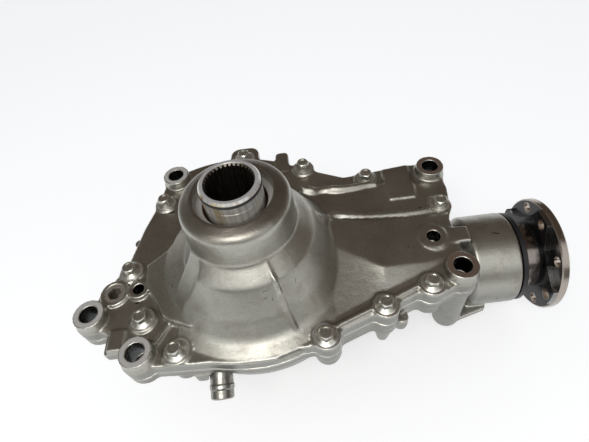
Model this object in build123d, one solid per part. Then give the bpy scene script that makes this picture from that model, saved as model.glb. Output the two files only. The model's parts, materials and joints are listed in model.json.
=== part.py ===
from build123d import *
from math import acos, asin, atan2, cos, degrees, hypot, log, pi, radians, sin, tan
import os

# Front differential: a cast housing and side cover around a spiral bevel gear pair
# and a two-planet differential. Millimetres. +Z is the ring gear's axis and +X the
# pinion's. The origin is on the ring gear's axis, in the left output boss's face.

# Heights above the left output face
PINION_AXIS_Z = 72.0
DIFF_CENTRE_Z = 78.0
PARTING_Z = 102.8
BOSS_FACE_Z = 121.8
NECK_FOOT_Z = 163.0
CAP_RIM_Z = 188.3
CAP_TOP_Z = 192.5
SLEEVE_TOP_Z = 203.7

# Cast walls and fits
COVER_FLANGE = 11.0
HOUSING_FLANGE = 8.0
CAST_WALL = 6.0
RUNNING_FIT = 0.05
LOOSE_FIT = 0.02

# Mounting bosses for M12 bolts: place in plan
MOUNT_BOSSES = [(-124.3, -38.5), (-83.1, -72.5), (-71.8, 100.2), (161.0, 71.5), (157.1, -33.4)]
MOUNT_BORE_R = 6.755
MOUNT_BOSS_R = 11.9
MOUNT_FOOT_R = 13.6
COLUMN_BOSS = 4
COLUMN_R = 11.5
COLUMN_END_Z = 44.0
COLUMN_BORE_Z = 76.0
COLUMN_SHELF = [(157, -44), (190, -35), (196, -20), (196, 0), (157, 0)]
COLUMN_SHELF_Z = (42.0, 48.0)

# Cover bolts, M8 with a flanged head: place in plan
COVER_BOLTS = [
    (-100.0, -0.4), (-83.9, -45.0), (-55.4, -72.8), (50.9, -74.2), (96.1, -55.6), (132.8, -42.7),
    (158.9, 30.8), (103.8, 71.3), (48.9, 94.9), (-80.0, 71.1), (-7.0, 118.0),
]
BOLT_SHANK_R = 3.95
BOLT_HOLE_R = 4.4
BOLT_FLANGE_R = 8.2
BOLT_HEX = 10.0
BOLT_HEAD_HEIGHT = 7.4
BOLT_DISH = (3.6, 0.8)
BOLT_TURNS = [8, 31, 47, 22, 5, 52, 14, 38, 3, 26, 43]
BOLT_LENGTH = 28.0
BOLT_SEAT_RISE = 2.0
BOLT_PAD_R = 10.2
BOLT_BOSS_R = 9.6
BOLT_BOSS_DEPTH = 9.0
LONG_BOSS = (96.1, -55.6)
LONG_BOSS_END = (4.5, 63.0)
UNDER_NUB = (109.0, -55.5, 84.0)
UNDER_NUB_R = 5.6

# Cover flange outline in plan, counter-clockwise; the two long stretches are arcs
OUTLINE_FRONT = [(-96, -69), (-70, -82.5), (-30, -83.5)]
OUTLINE_FRONT_ARC = [(-30, -83.5), (-8, -86.3), (15, -85.6)]
OUTLINE_RIGHT = [
    (15, -85.6), (31, -80.5), (42, -79.5), (65, -69.5), (88, -61), (107, -54), (124, -47.5),
    (140, -50), (160, -42), (163.5, -22), (163.5, 16), (168, 30), (171, 48), (172.5, 70), (160, 83),
    (149, 84.4), (128, 82.2), (104, 80), (85, 78), (62, 89.5), (38, 103),
]
OUTLINE_BACK_ARC = [(38, 103), (-20, 121), (-70, 109)]
OUTLINE_LEFT = [
    (-70, 109), (-84, 93), (-90.5, 64), (-97, 45), (-104, 13), (-110, 0), (-124, -20),
    (-128, -46), (-107.5, -54), (-96, -69),
]
OUTLINE_ROUND = 5.0

# Dome of the cover
CAP_R = 39.6
CAP_BORE_R = 27.5
DOME_SHOULDER = (52.0, 39.0)
DOME_FLARE = (64.5, 16.0)
DOME_FOOT = (74.0, 4.2)
DOME_EDGE = (86.0, -0.4)
SADDLE_STATIONS = [28.0, 60.0, 100.0, 134.0, 160.0]
SADDLE_SECTIONS = [
    [(-68, -1), (8, 23), (20, 26), (24, 17), (62, 9), (66, 0)],
    [(-60, 0), (-5, 15), (17, 18), (21, 11), (55, 6), (59, 0)],
    [(-43, 0), (-27, 8), (16, 10), (20, 6), (60, 4), (64, 0)],
    [(-30, 0), (-24, 2.5), (18, 4.5), (21, 3), (61, 2), (65, 0)],
    [(-22, -1), (-19, 0.3), (20, 0.8), (22, 0.4), (55, 0.3), (58, -1)],
]
SADDLE_SINK = 6.0

# Left-hand side of the dome: the bell is cut away down to a steep neck and a low lobe,
# and what is left of it in front ends in a slanted gusset
GUSSET_POINT = (-28.3, -33.2, 160.5)
GUSSET_FACE = (-0.72, -0.377, 0.583)
NECK_FACE = (-0.851, -0.055, 0.523)
GUSSET_SIDE = (-0.469, 0.883, 0.0)
STEEP_NECK_FOOT = (52.0, 128.0)
LOBE_OUTLINE = [
    (-63.5, 26), (-65.4, 19), (-69.4, 13.6), (-79, 7), (-87.3, 2.2), (-85.9, -7), (-80.5, -22.8),
    (-71, -39.8), (-68.5, -44.8), (-62, -50), (-45, -58), (-20, -50), (-20, 52), (-48, 52), (-58, 39),
]
LOBE_CROWN = [(95, 117), (88, 118), (70, 121.5), (58, 127.5), (45, 133)]

# Small forms of the cover: place in plan, size and rise above its top
BARE_PAD = ((130.5, 59.0), (23.0, 37.0), 2.0)
HOLE_BOSSES = [((144.8, -1.9), 10.4, 5.2, 4.0), ((-90.9, -18.5), 8.5, 4.4, 3.5)]
BACK_LUGS = [((29.5, 108.0), (13.0, 26.0), 4.0), ((-7.0, 121.0), (28.0, 27.0), 9.0)]
BACK_LUG_RISE = 1.0
CORNER_TAB = ((-105.0, -59.0), (13.0, 20.0), 3.0)
CORNER_TAB_Z = (103.5, 111.8)
SNOUT_TAB = ((163.2, 1.0), (19.0, 14.0), 1.5)
SNOUT_TAB_Z = (107.8, 112.6)
RIMS = [
    ((60, -66.5), (86, -56.5)), ((106, -49.0), (122, -42.5)), ((-61.8, -48.2), (-72, -65)),
]
RIM_WIDTH = 3.2
RIM_RISE = 2.6
SHOULDER_RIB = (-66.0, 2.6)
SHOULDER_RIB_CREST = [(39, 162), (53, 153.3), (66, 130), (76, 117.4)]
PLUG_PLACE = (-110.5, -19.2)
PLUG_R = 8.0
PLUG_BOSS_R = 11.5
PLUG_SOCKET_R = 5.8
DOWELS = [(-101.0, 33.0), (118.0, -44.0)]
DOWEL_R = 4.0
DOWEL_REACH = 6.0

# Vent nipple in the housing's front wall: root and direction
VENT_PLACE = (-30.0, -78.5, 86.0)
VENT_OUTWARD = (0.0, -0.917, -0.399)
VENT_PRESS_R = 6.0
VENT_BOSS_R = 11.0
VENT_SPOT_R = 9.4
VENT_WEB = ((-41.0, -80.0), (16.0, 9.0), 4.0)

# Differential case and its bearings
CASE_R = 47.0
CASE_SPHERE_R = 38.5
CASE_HALF = 36.0
CASE_WINDOW = (46.0, 44.0, 8.0)
JOURNAL_R = 25.0
JOURNAL_LENGTH = 20.0
CASE_BEARING_OD = 80.0
CASE_BEARING_WIDTH = 20.0
SHIM_THICK = 1.5
SIDE_HUB_R = 20.0
SIDE_BORE_R = 13.5
THRUST_HALF = 27.2
THRUST_WASHER = 1.0
CROSS_PIN_R = 8.0
LOCK_PIN_R = 2.0
LOCK_PIN_INSET = 4.4

# Spiral bevel pair
RING_TEETH = 38
PINION_TEETH = 11
RING_PITCH_R = 75.0
RING_RIM = 3.0
RING_BACK_Z = 106.0
RING_PILOT_R = CASE_R + 1.0
RING_BODY_R = RING_PITCH_R - 1.0
RING_FACE_WIDTH = RING_PITCH_R - RING_PILOT_R - RING_RIM
RING_BOLTS = 10
RING_BOLT_R = 4.5
RING_BOLT_HEAD = (7.0, 4.5)
RING_BOLT_CIRCLE_R = CASE_R + 9.0
CASE_FLANGE_R = RING_BOLT_CIRCLE_R + 8.5
SPIRAL_ANGLE = 32.0
BEVEL_MODULE = 2 * RING_PITCH_R / RING_TEETH
BEVEL_PRESSURE = radians(22.0)
BEVEL_SHIFT = 0.35
BEVEL_BACKLASH = 0.12
RING_TIP, RING_ROOT = 0.42, 1.36
PINION_TIP, PINION_ROOT = 1.14, 0.66

# Differential bevel gears
SIDE_TEETH = 16
PLANET_TEETH = 10
SIDE_MODULE = 3.6
SIDE_FACE_WIDTH = 10.5
SIDE_BACKLASH = 0.16
STUB_TIP, STUB_ROOT = 0.78, 1.0
STUB_PRESSURE = radians(22.5)

# Pinion line, measured from the ring gear's axis
HEAD_BEARING_X = 80.0
HEAD_BEARING = (35.0, 72.0, 18.0)
TAIL_BEARING_X = 178.0
TAIL_BEARING = (30.0, 62.0, 17.0)
PINION_SHIM = 1.0
SPLINE_R = 13.0
THREAD_R = 11.9
SNOUT_START_X = 168.0
SNOUT_FULL_X = 176.0
SNOUT_END_X = 210.9
SNOUT_R = 38.2
WAIST_R = 30.4
TUNNEL_R = HEAD_BEARING[1] / 2 + 5
TUNNEL_START_X = 40.0
TUNNEL_END_X = HEAD_BEARING_X + HEAD_BEARING[2] + 3
TUNNEL_ROOM = 2.0
HUB_FLOOR_X = 222.0
HUB_SEAL_R = 22.5
HUB_BODY_R = 28.0
NUT_HEIGHT = 12.0
FLANGE_BACK_X = 235.5
FLANGE_FRONT_X = 241.3
INPUT_FLANGE_R = 47.0
FLANGE_HOLE_CIRCLE_R = 40.0
FLANGE_HOLE_R = 4.25
LOBED_PLATE_X = 231.2
LOBED_PLATE_R = 46.4
SCALLOP_R = 60.0
SCALLOP_CENTRE_R = 92.0
SCALLOP_TURN = 42.0

# Output sleeve and seals
SLEEVE_R = 21.0
SLEEVE_BORE_R = 16.0
SLEEVE_SPLINES = 34
SLEEVE_SPLINE_DEPTH = 1.0
SLEEVE_PILOT_R = 15.2
SLEEVE_FLOOR_Z = 152.0
SLEEVE_PILOT_LENGTH = 13.0
SLEEVE_RIDGE_Z = SLEEVE_TOP_Z - 10.6
O_RING_Z = SLEEVE_TOP_Z - 1.5
O_RING_R = 0.9
O_RING_GROOVE_R = 19.7
SEAL_OUTER_R = 27.5
SEAL_WIDTH = 10.0
RIGHT_SEAL_Z = 174.0
LEFT_MOUTH_R = 29.0
LEFT_MOUTH_DEPTH = 6.0
LEFT_SEAL_Z = LEFT_MOUTH_DEPTH + 1.0
LEFT_SEAL_LIP_R = 18.0

COVER_TOP_Z = PARTING_Z + COVER_FLANGE
HOUSING_FLANGE_Z = PARTING_Z - HOUSING_FLANGE
BOLT_SEAT_Z = COVER_TOP_Z + BOLT_SEAT_RISE
CASE_TOP_Z = DIFF_CENTRE_Z + CASE_HALF
CASE_BOTTOM_Z = DIFF_CENTRE_Z - CASE_HALF
CASE_BEARING_R = CASE_BEARING_OD / 2


def turned(points, rounds=()):
    """Solid of revolution about Z of a closed (radius, height) outline.

    rounds holds (point, radius) pairs for the corners that are rounded."""
    face = make_face(Polyline(*points, close=True))
    for point, radius in rounds:
        corner = face.vertices().sort_by_distance(Vector(*point))[0]
        face = fillet(corner, radius)
    return revolve(Plane.XZ * face, Axis.Z, 360)


def tube(outer_r, inner_r, low, high):
    """Plain ring about Z between two heights."""
    return turned([(inner_r, low), (outer_r, low), (outer_r, high), (inner_r, high)])


def rod(radius, low, high, x=0.0, y=0.0):
    """Upright cylinder."""
    return Pos(x, y, (low + high) / 2) * Cylinder(radius, high - low)


def on_pinion_axis(shape):
    """Lays a shape that was made about Z along the pinion's axis."""
    return Pos(0, 0, PINION_AXIS_Z) * Rot(0, 90, 0) * shape


def flange_outline():
    """Plan of the joint between cover and housing, with an ear round each bolt and boss."""
    edges = [
        Polyline(*OUTLINE_FRONT),
        ThreePointArc(*OUTLINE_FRONT_ARC),
        Polyline(*OUTLINE_RIGHT),
        ThreePointArc(*OUTLINE_BACK_ARC),
        Polyline(*OUTLINE_LEFT),
    ]
    plan = make_face(edges)
    plan += [Pos(x, y) * Circle(BOLT_PAD_R) for x, y in COVER_BOLTS]
    plan += [Pos(x, y) * Circle(MOUNT_FOOT_R) for x, y in MOUNT_BOSSES]
    plan = offset(plan, OUTLINE_ROUND, kind=Kind.ARC)
    return offset(plan, -OUTLINE_ROUND, kind=Kind.ARC)


def slab(plan, low, high):
    """Upright plate of a plan outline."""
    return Pos(0, 0, low) * extrude(plan, high - low, dir=(0, 0, 1))


def beyond(point, outward, inset=0.0):
    """Everything on the outer side of a plane."""
    span = 400.0
    return Plane(origin=point, z_dir=outward).location * Pos(0, 0, span / 2 - inset) * Box(span, span, span)


def cut_away_side(inset=0.0):
    """Space on the left where the bell is missing, seen from an inset distance inside it."""
    top = (0, 0, COVER_TOP_Z)
    space = beyond(GUSSET_POINT, GUSSET_FACE, inset) + beyond(top, GUSSET_SIDE, inset)
    return space & beyond(GUSSET_POINT, NECK_FACE, inset) & beyond(top, (0, 0, 1))


def steep_neck():
    """Steep cone under the cap, which shows where the bell is cut away."""
    low = PARTING_Z + 2
    return turned([
        (0, low), (STEEP_NECK_FOOT[0], low), STEEP_NECK_FOOT, (CAP_R + 0.6, NECK_FOOT_Z),
        (CAP_R + 0.6, CAP_TOP_Z + 1), (0, CAP_TOP_Z + 1),
    ])


def side_lobe():
    """Low crowned lobe over the ring gear beside the steep neck."""
    low = PARTING_Z + 2
    plan = make_face(Polyline(*LOBE_OUTLINE, close=True))
    crown = turned([(0, low), (LOBE_CROWN[0][0], low)] + LOBE_CROWN + [(0, LOBE_CROWN[-1][1])])
    return slab(plan, low, LOBE_CROWN[-1][1] + 1) & crown


def dome():
    """Bell-shaped dome with its straight neck and flat cap, solid inside."""
    top = COVER_TOP_Z
    shoulder, flare, foot, edge = [
        (r, top + rise) for r, rise in (DOME_SHOULDER, DOME_FLARE, DOME_FOOT, DOME_EDGE)
    ]
    neck = (CAP_R + 0.6, NECK_FOOT_Z)
    rim = (CAP_R, CAP_RIM_Z)
    points = [
        (0, PARTING_Z + 2), (edge[0], PARTING_Z + 2), edge, foot, flare, shoulder, neck, rim,
        (CAP_BORE_R + 1, CAP_TOP_Z), (0, CAP_TOP_Z),
    ]
    rounds = [(foot, 14), (flare, 30), (shoulder, 12), (neck, 5), (rim, 2.5)]
    bell = turned(points, rounds)
    return bell - (cut_away_side() - steep_neck()) + side_lobe()


def saddle():
    """Stepped ramp from the dome's shoulder over the pinion to the right-hand end."""
    sections = []
    for station, line in zip(SADDLE_STATIONS, SADDLE_SECTIONS):
        front, back = line[0], line[-1]
        points = [(front[0], -SADDLE_SINK)] + line + [(back[0], -SADDLE_SINK)]
        at_station = Plane(origin=(station, 0, COVER_TOP_Z), x_dir=(0, 1, 0), z_dir=(1, 0, 0))
        sections.append(at_station * make_face(Polyline(*points, close=True)))
    return loft(sections, ruled=True)


def radial_rib(angle, crest, width):
    """Upright rib on the dome in a radial plane; crest lists (radius, height) points."""
    low = PARTING_Z + 3
    points = [(crest[0][0] - 8, low), (crest[0][0] - 8, crest[0][1])] + crest
    points += [(crest[-1][0], low)]
    face = Plane.XZ * make_face(Polyline(*points, close=True))
    return Rot(0, 0, angle) * extrude(face, width / 2, both=True)


def dome_cavity():
    """Rooms inside the cover: for the ring gear and its bolts, the case bearing, its shim and
    the seal, and the hollow of the bell."""
    bearing_top = CASE_TOP_Z + 2 + CASE_BEARING_WIDTH
    shim_top = bearing_top + SHIM_THICK
    top = COVER_TOP_Z
    gear_r = RING_PITCH_R + 4.5
    bolt_room_r = CASE_FLANGE_R + 1.0
    seat_wall_r = CASE_BEARING_R + CAST_WALL
    ceiling = CASE_TOP_Z + RING_BOLT_HEAD[1] + 3.5
    low_room = turned([
        (0, PARTING_Z - 1), (gear_r, PARTING_Z - 1), (gear_r, top - 5.2), (bolt_room_r + 2, top - 4),
        (bolt_room_r, top - 2), (bolt_room_r, ceiling - 3), (bolt_room_r - 6, ceiling),
        (seat_wall_r, ceiling), (seat_wall_r, top + 4), (CASE_BEARING_R, top + 4),
        (CASE_BEARING_R, shim_top), (33, shim_top), (30, shim_top + 4), (24, shim_top + 4),
        (24, RIGHT_SEAL_Z), (SEAL_OUTER_R, RIGHT_SEAL_Z), (CAP_BORE_R, CAP_TOP_Z + 1),
        (0, CAP_TOP_Z + 1),
    ])
    bell_room = turned([
        (seat_wall_r, ceiling - 2), (bolt_room_r - 2, ceiling - 2), (bolt_room_r - 2, ceiling),
        (seat_wall_r + 4, top + 33), (seat_wall_r, top + 33),
    ])
    return [low_room, bell_room - cut_away_side(CAST_WALL)]


def cover_pads():
    """Mounting bosses, bolt pads and the small raised forms on the cover."""
    top = COVER_TOP_Z
    pads = []
    for x, y in MOUNT_BOSSES:
        pads.append(Pos(x, y, (PARTING_Z + BOSS_FACE_Z) / 2)
                    * Cone(MOUNT_FOOT_R, MOUNT_BOSS_R, BOSS_FACE_Z - PARTING_Z))
    for x, y in COVER_BOLTS:
        pads.append(rod(BOLT_PAD_R, PARTING_Z, BOLT_SEAT_Z, x, y))
    (x, y), size, rise = BARE_PAD
    pads.append(slab(Pos(x, y) * Rectangle(*size), PARTING_Z + 1, top + rise))
    for (x, y), boss_r, _, rise in HOLE_BOSSES:
        pads.append(rod(boss_r, PARTING_Z, top + rise, x, y))
    pads.append(rod(PLUG_BOSS_R, PARTING_Z, top + BOLT_SEAT_RISE + 0.5, *PLUG_PLACE))
    for place, size, corner in BACK_LUGS:
        pads.append(slab(Pos(*place) * RectangleRounded(*size, corner), PARTING_Z, top + BACK_LUG_RISE))
    for (place, size, corner), heights in ((CORNER_TAB, CORNER_TAB_Z), (SNOUT_TAB, SNOUT_TAB_Z)):
        pads.append(slab(Pos(*place) * RectangleRounded(*size, corner), *heights))
    return pads + cover_rims()


def cover_holes():
    """Bolt, mounting, plug and dowel holes of the cover, with the room round each head."""
    top = COVER_TOP_Z
    cuts = []
    for x, y in COVER_BOLTS:
        cuts.append(rod(BOLT_HOLE_R, PARTING_Z - 1, BOLT_SEAT_Z + 1, x, y))
        cuts.append(rod(BOLT_PAD_R, BOLT_SEAT_Z, NECK_FOOT_Z, x, y))
    for x, y in MOUNT_BOSSES:
        cuts.append(rod(MOUNT_BORE_R, PARTING_Z - 1, BOSS_FACE_Z + 1, x, y))
        cuts.append(rod(MOUNT_BOSS_R + 1.5, BOSS_FACE_Z, NECK_FOOT_Z, x, y))
    for (x, y), _, hole_r, rise in HOLE_BOSSES:
        cuts.append(rod(hole_r, PARTING_Z + 2, top + rise + 1, x, y))
    cuts.append(rod(PLUG_R, PARTING_Z - 1, NECK_FOOT_Z, *PLUG_PLACE))
    for x, y in DOWELS:
        cuts.append(rod(DOWEL_R, PARTING_Z - 1, PARTING_Z + DOWEL_REACH, x, y))
    return cuts


def side_cover():
    """Cast cover with the dome, the saddle, the bolt pads and five mounting bosses."""
    body = slab(flange_outline(), PARTING_Z, COVER_TOP_Z)
    body += dome() + saddle()
    angle, width = SHOULDER_RIB
    body += radial_rib(angle, SHOULDER_RIB_CREST, width)
    body += cover_pads()
    return body - dome_cavity() - tunnel_room() - cover_holes()


def cover_rims():
    """Low ribs on the cover's top."""
    ribs = []
    for (x0, y0), (x1, y1) in RIMS:
        length = hypot(x1 - x0, y1 - y0)
        turn = degrees(atan2(y1 - y0, x1 - x0))
        bar = SlotCenterToCenter(length, RIM_WIDTH)
        plan = Pos((x0 + x1) / 2, (y0 + y1) / 2) * Rot(0, 0, turn) * bar
        ribs.append(slab(plan, COVER_TOP_Z - 1, COVER_TOP_Z + RIM_RISE))
    return ribs


def tunnel_room():
    """Room in the cover above the housing's pinion bearing boss."""
    return on_pinion_axis(rod(TUNNEL_R + TUNNEL_ROOM, TUNNEL_START_X, TUNNEL_END_X + 10))


def pinion_housing():
    """Tunnel, waist and snout round the pinion line."""
    start = TUNNEL_START_X
    line = on_pinion_axis(turned([
        (0, start), (TUNNEL_R, start), (TUNNEL_R, TUNNEL_END_X), (WAIST_R, TUNNEL_END_X + 8),
        (WAIST_R, SNOUT_START_X), (SNOUT_R, SNOUT_FULL_X), (SNOUT_R, SNOUT_END_X - 1.2),
        (SNOUT_R - 1.2, SNOUT_END_X), (0, SNOUT_END_X),
    ], [((WAIST_R, TUNNEL_END_X + 8), 8), ((WAIST_R, SNOUT_START_X), 5)]))
    inside = HEAD_BEARING_X - 1
    above = Pos(inside / 2, 0, PARTING_Z + 15) * Box(inside, 4 * TUNNEL_R, 30)
    keel_end = PINION_AXIS_Z - SNOUT_R + 6
    keel = Plane.XZ * make_face(Polyline(
        (start, 20), (60, 22), (200, keel_end), (200, PINION_AXIS_Z), (start, PINION_AXIS_Z), close=True))
    return line - above + extrude(keel, 4, both=True)


def housing_bosses():
    """Bosses under the flange, the long mounting column and its shelf."""
    bosses = []
    for x, y in COVER_BOLTS:
        bosses.append(rod(BOLT_BOSS_R, HOUSING_FLANGE_Z - BOLT_BOSS_DEPTH, PARTING_Z, x, y))
    end_r, end_z = LONG_BOSS_END
    height = HOUSING_FLANGE_Z - end_z
    bosses.append(Pos(*LONG_BOSS, end_z + height / 2) * Cone(end_r, BOLT_BOSS_R, height))
    x, y, z = UNDER_NUB
    bosses += [Pos(x, y, z) * Sphere(UNDER_NUB_R), rod(UNDER_NUB_R, z, HOUSING_FLANGE_Z, x, y)]
    x, y = MOUNT_BOSSES[COLUMN_BOSS]
    bosses.append(Pos(x, y, COLUMN_END_Z) * Sphere(COLUMN_R))
    bosses.append(rod(COLUMN_R, COLUMN_END_Z, HOUSING_FLANGE_Z, x, y))
    bosses.append(slab(make_face(Polyline(*COLUMN_SHELF, close=True)), *COLUMN_SHELF_Z))
    place, size, corner = VENT_WEB
    web = Pos(*place) * RectangleRounded(*size, corner)
    bosses.append(slab(web, VENT_PLACE[2] - 3, HOUSING_FLANGE_Z))
    bosses.append(vent_axis() * Pos(0, 0, -4) * Cylinder(VENT_BOSS_R, 8))
    return bosses


def housing_shell():
    """Outer form of the housing: flange, bowl, left output boss and what stands on them."""
    bearing_low = CASE_BOTTOM_Z - CASE_BEARING_WIDTH
    seat_r = CASE_BEARING_R + CAST_WALL
    bowl_r = RING_PITCH_R + 9.0
    bowl = turned([
        (0, 0), (34, 0), (36, 2), (36, 10), (seat_r, bearing_low - 7), (seat_r, CASE_BOTTOM_Z - 8),
        (CASE_R + 13, CASE_BOTTOM_Z + 2), (bowl_r, 84), (bowl_r + 3, HOUSING_FLANGE_Z + 2),
        (bowl_r + 3, PARTING_Z), (0, PARTING_Z),
    ], [((36, 10), 5), ((seat_r, CASE_BOTTOM_Z - 8), 8), ((bowl_r, 84), 10)])
    shell = slab(flange_outline(), HOUSING_FLANGE_Z, PARTING_Z) + bowl + pinion_housing()
    plan_web = make_face(Polyline((60, -78), (160, -40), (196, -30), (196, 30), (160, 60), (60, 78),
                                  close=True))
    shell += slab(plan_web, HOUSING_FLANGE_Z - 8, HOUSING_FLANGE_Z) & slab(flange_outline(), 80, 100)
    return shell + housing_bosses()


def housing_rooms():
    """Hollows of the housing: gear chamber, case bearing seat, seals and pinion line."""
    bearing_low = CASE_BOTTOM_Z - CASE_BEARING_WIDTH
    shim_low = bearing_low - SHIM_THICK
    seal_end = LEFT_SEAL_Z + SEAL_WIDTH
    gear_r = RING_PITCH_R + 4.5
    chamber = turned([
        (0, -1), (LEFT_MOUTH_R, -1), (LEFT_MOUTH_R, LEFT_MOUTH_DEPTH),
        (SEAL_OUTER_R, LEFT_MOUTH_DEPTH + 0.8),
        (SEAL_OUTER_R, seal_end), (24, seal_end), (24, shim_low - 3), (33, shim_low),
        (CASE_BEARING_R, shim_low), (CASE_BEARING_R, CASE_BOTTOM_Z), (CASE_R + 3.5, CASE_BOTTOM_Z + 1),
        (CASE_R + 5, 56), (gear_r, 86), (gear_r, PARTING_Z + 1), (0, PARTING_Z + 1),
    ])
    head_r = HEAD_BEARING[1] / 2
    head_end = HEAD_BEARING_X + HEAD_BEARING[2]
    tail_r = TAIL_BEARING[1] / 2
    line = on_pinion_axis(turned([
        (0, 45), (head_r, 45), (head_r, head_end), (head_r - 5, head_end), (head_r - 8, head_end + 4),
        (24, head_end + 4), (24, TAIL_BEARING_X - 3), (tail_r - 4, TAIL_BEARING_X - 3),
        (tail_r - 4, TAIL_BEARING_X), (tail_r, TAIL_BEARING_X), (tail_r, SNOUT_END_X + 1),
        (0, SNOUT_END_X + 1),
    ]))
    return [chamber, line]


def carrier_housing():
    """Cast housing that carries the pinion and the left case bearing."""
    cuts = housing_rooms()
    for i, (x, y) in enumerate(MOUNT_BOSSES):
        low = COLUMN_BORE_Z if i == COLUMN_BOSS else HOUSING_FLANGE_Z - 1
        cuts.append(rod(MOUNT_BORE_R, low, PARTING_Z + 1, x, y))
    x, y = MOUNT_BOSSES[COLUMN_BOSS]
    drill_point = MOUNT_BORE_R * tan(radians(31))
    cuts.append(Pos(x, y, COLUMN_BORE_Z - drill_point / 2) * Cone(0.01, MOUNT_BORE_R, drill_point))
    for x, y in COVER_BOLTS:
        cuts.append(rod(BOLT_SHANK_R + RUNNING_FIT, BOLT_SEAT_Z - BOLT_LENGTH - 2, PARTING_Z + 1, x, y))
    for x, y in DOWELS:
        cuts.append(rod(DOWEL_R, PARTING_Z - DOWEL_REACH, PARTING_Z + 1, x, y))
    cuts.append(rod(PLUG_R + 2, HOUSING_FLANGE_Z - 1, PARTING_Z + 1, *PLUG_PLACE))
    cuts.append(vent_axis() * Pos(0, 0, -6) * Cylinder(VENT_PRESS_R, 16))
    cuts.append(vent_axis() * Pos(0, 0, 15) * Cylinder(VENT_SPOT_R, 30))
    return housing_shell() - cuts


def vent_axis():
    """Frame of the vent nipple, whose axis points forward and down from the housing's side."""
    return Plane(origin=VENT_PLACE, x_dir=(1, 0, 0), z_dir=VENT_OUTWARD).location


def vent_nipple():
    """Short hose nipple with a rounded bead and an open end."""
    outline = [
        (4.4, -5), (VENT_PRESS_R, -5), (VENT_PRESS_R, 0), (8.6, 0), (8.6, 9), (9.2, 10.2), (9.2, 12.4),
        (8.6, 13.6), (8.6, 19), (7.6, 20), (6.9, 20), (6.3, 19.2), (6.3, 6), (4.4, 6),
    ]
    return vent_axis() * turned(outline)


def fill_plug():
    """Threaded plug with a hexagon socket."""
    low = PARTING_Z + 1
    high = COVER_TOP_Z + 1.5
    body = rod(PLUG_R, low, high, *PLUG_PLACE)
    socket = Pos(*PLUG_PLACE, high - 6) * extrude(RegularPolygon(PLUG_SOCKET_R, 6), 7)
    return body - socket


def cover_bolt():
    """Flanged hexagon bolt; its seat is at height zero."""
    hexagon = extrude(RegularPolygon(BOLT_HEX / 2, 6, major_radius=False), BOLT_HEAD_HEIGHT)
    crown = turned([(0, 0), (BOLT_FLANGE_R, 0), (BOLT_FLANGE_R, 1.2), (BOLT_HEX * 0.56, 3.0),
                    (BOLT_HEX * 0.56, BOLT_HEAD_HEIGHT - 0.9), (BOLT_HEX * 0.46, BOLT_HEAD_HEIGHT),
                    (0, BOLT_HEAD_HEIGHT)])
    skirt = turned([(0, 0), (BOLT_FLANGE_R, 0), (BOLT_FLANGE_R, 1.2), (BOLT_HEX / 2, 3.0), (0, 3.0)])
    dish_r, dish_depth = BOLT_DISH
    dish = rod(dish_r, BOLT_HEAD_HEIGHT - dish_depth, BOLT_HEAD_HEIGHT + 1)
    return (hexagon & crown) + skirt + rod(BOLT_SHANK_R, -BOLT_LENGTH, 0) - dish


def dowels():
    return [rod(DOWEL_R, PARTING_Z - DOWEL_REACH, PARTING_Z + DOWEL_REACH, x, y) for x, y in DOWELS]


def oil_seal(lip_r, outer_r, width):
    """Lip seal about Z: stiffened outer wall, web and spring-loaded lip."""
    return turned([
        (outer_r, 0), (outer_r, width), (lip_r + 2.4, width), (lip_r + 1.2, width - 1.5),
        (lip_r + 1.0, width - 2.8), (lip_r, 2.6), (lip_r + 0.8, 1.0), (lip_r + 3.2, 1.6),
        (lip_r + 3.4, width - 2.6), (outer_r - 1.4, width - 2.6), (outer_r - 1.4, 0),
    ])


def taper_bearing(bore, outside, width, rollers):
    """Cup, cone and rollers about Z; the raceways share one apex and open towards +Z."""
    roller_r = 0.058 * (bore + outside) / 2
    mean = radians(13)
    mid_r = (bore + outside) / 4
    apex = width / 2 - mid_r / tan(mean)
    half = asin(roller_r * sin(mean) / mid_r)

    def race(angle, height):
        return (height - apex) * tan(angle)

    inner, outer = mean - half, mean + half
    cone = turned([(bore / 2, 0), (race(inner, 0), 0), (race(inner, width), width), (bore / 2, width)])
    cup = turned([(race(outer, 0), 0), (outside / 2, 0), (outside / 2, width), (race(outer, width), width)])
    slim = half - 0.0003
    low = (1.6 - apex) / cos(mean)
    high = (width - 1.6 - apex) / cos(mean)
    along = Plane(origin=(0, 0, apex), x_dir=(0, 1, 0), z_dir=(sin(mean), 0, cos(mean)))
    frustum = Cone(low * tan(slim), high * tan(slim), high - low)
    one = along.location * Pos(0, 0, (low + high) / 2) * frustum
    ring = [Rot(0, 0, 360 * i / rollers) * one for i in range(rollers)]
    return cup, cone, ring


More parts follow.
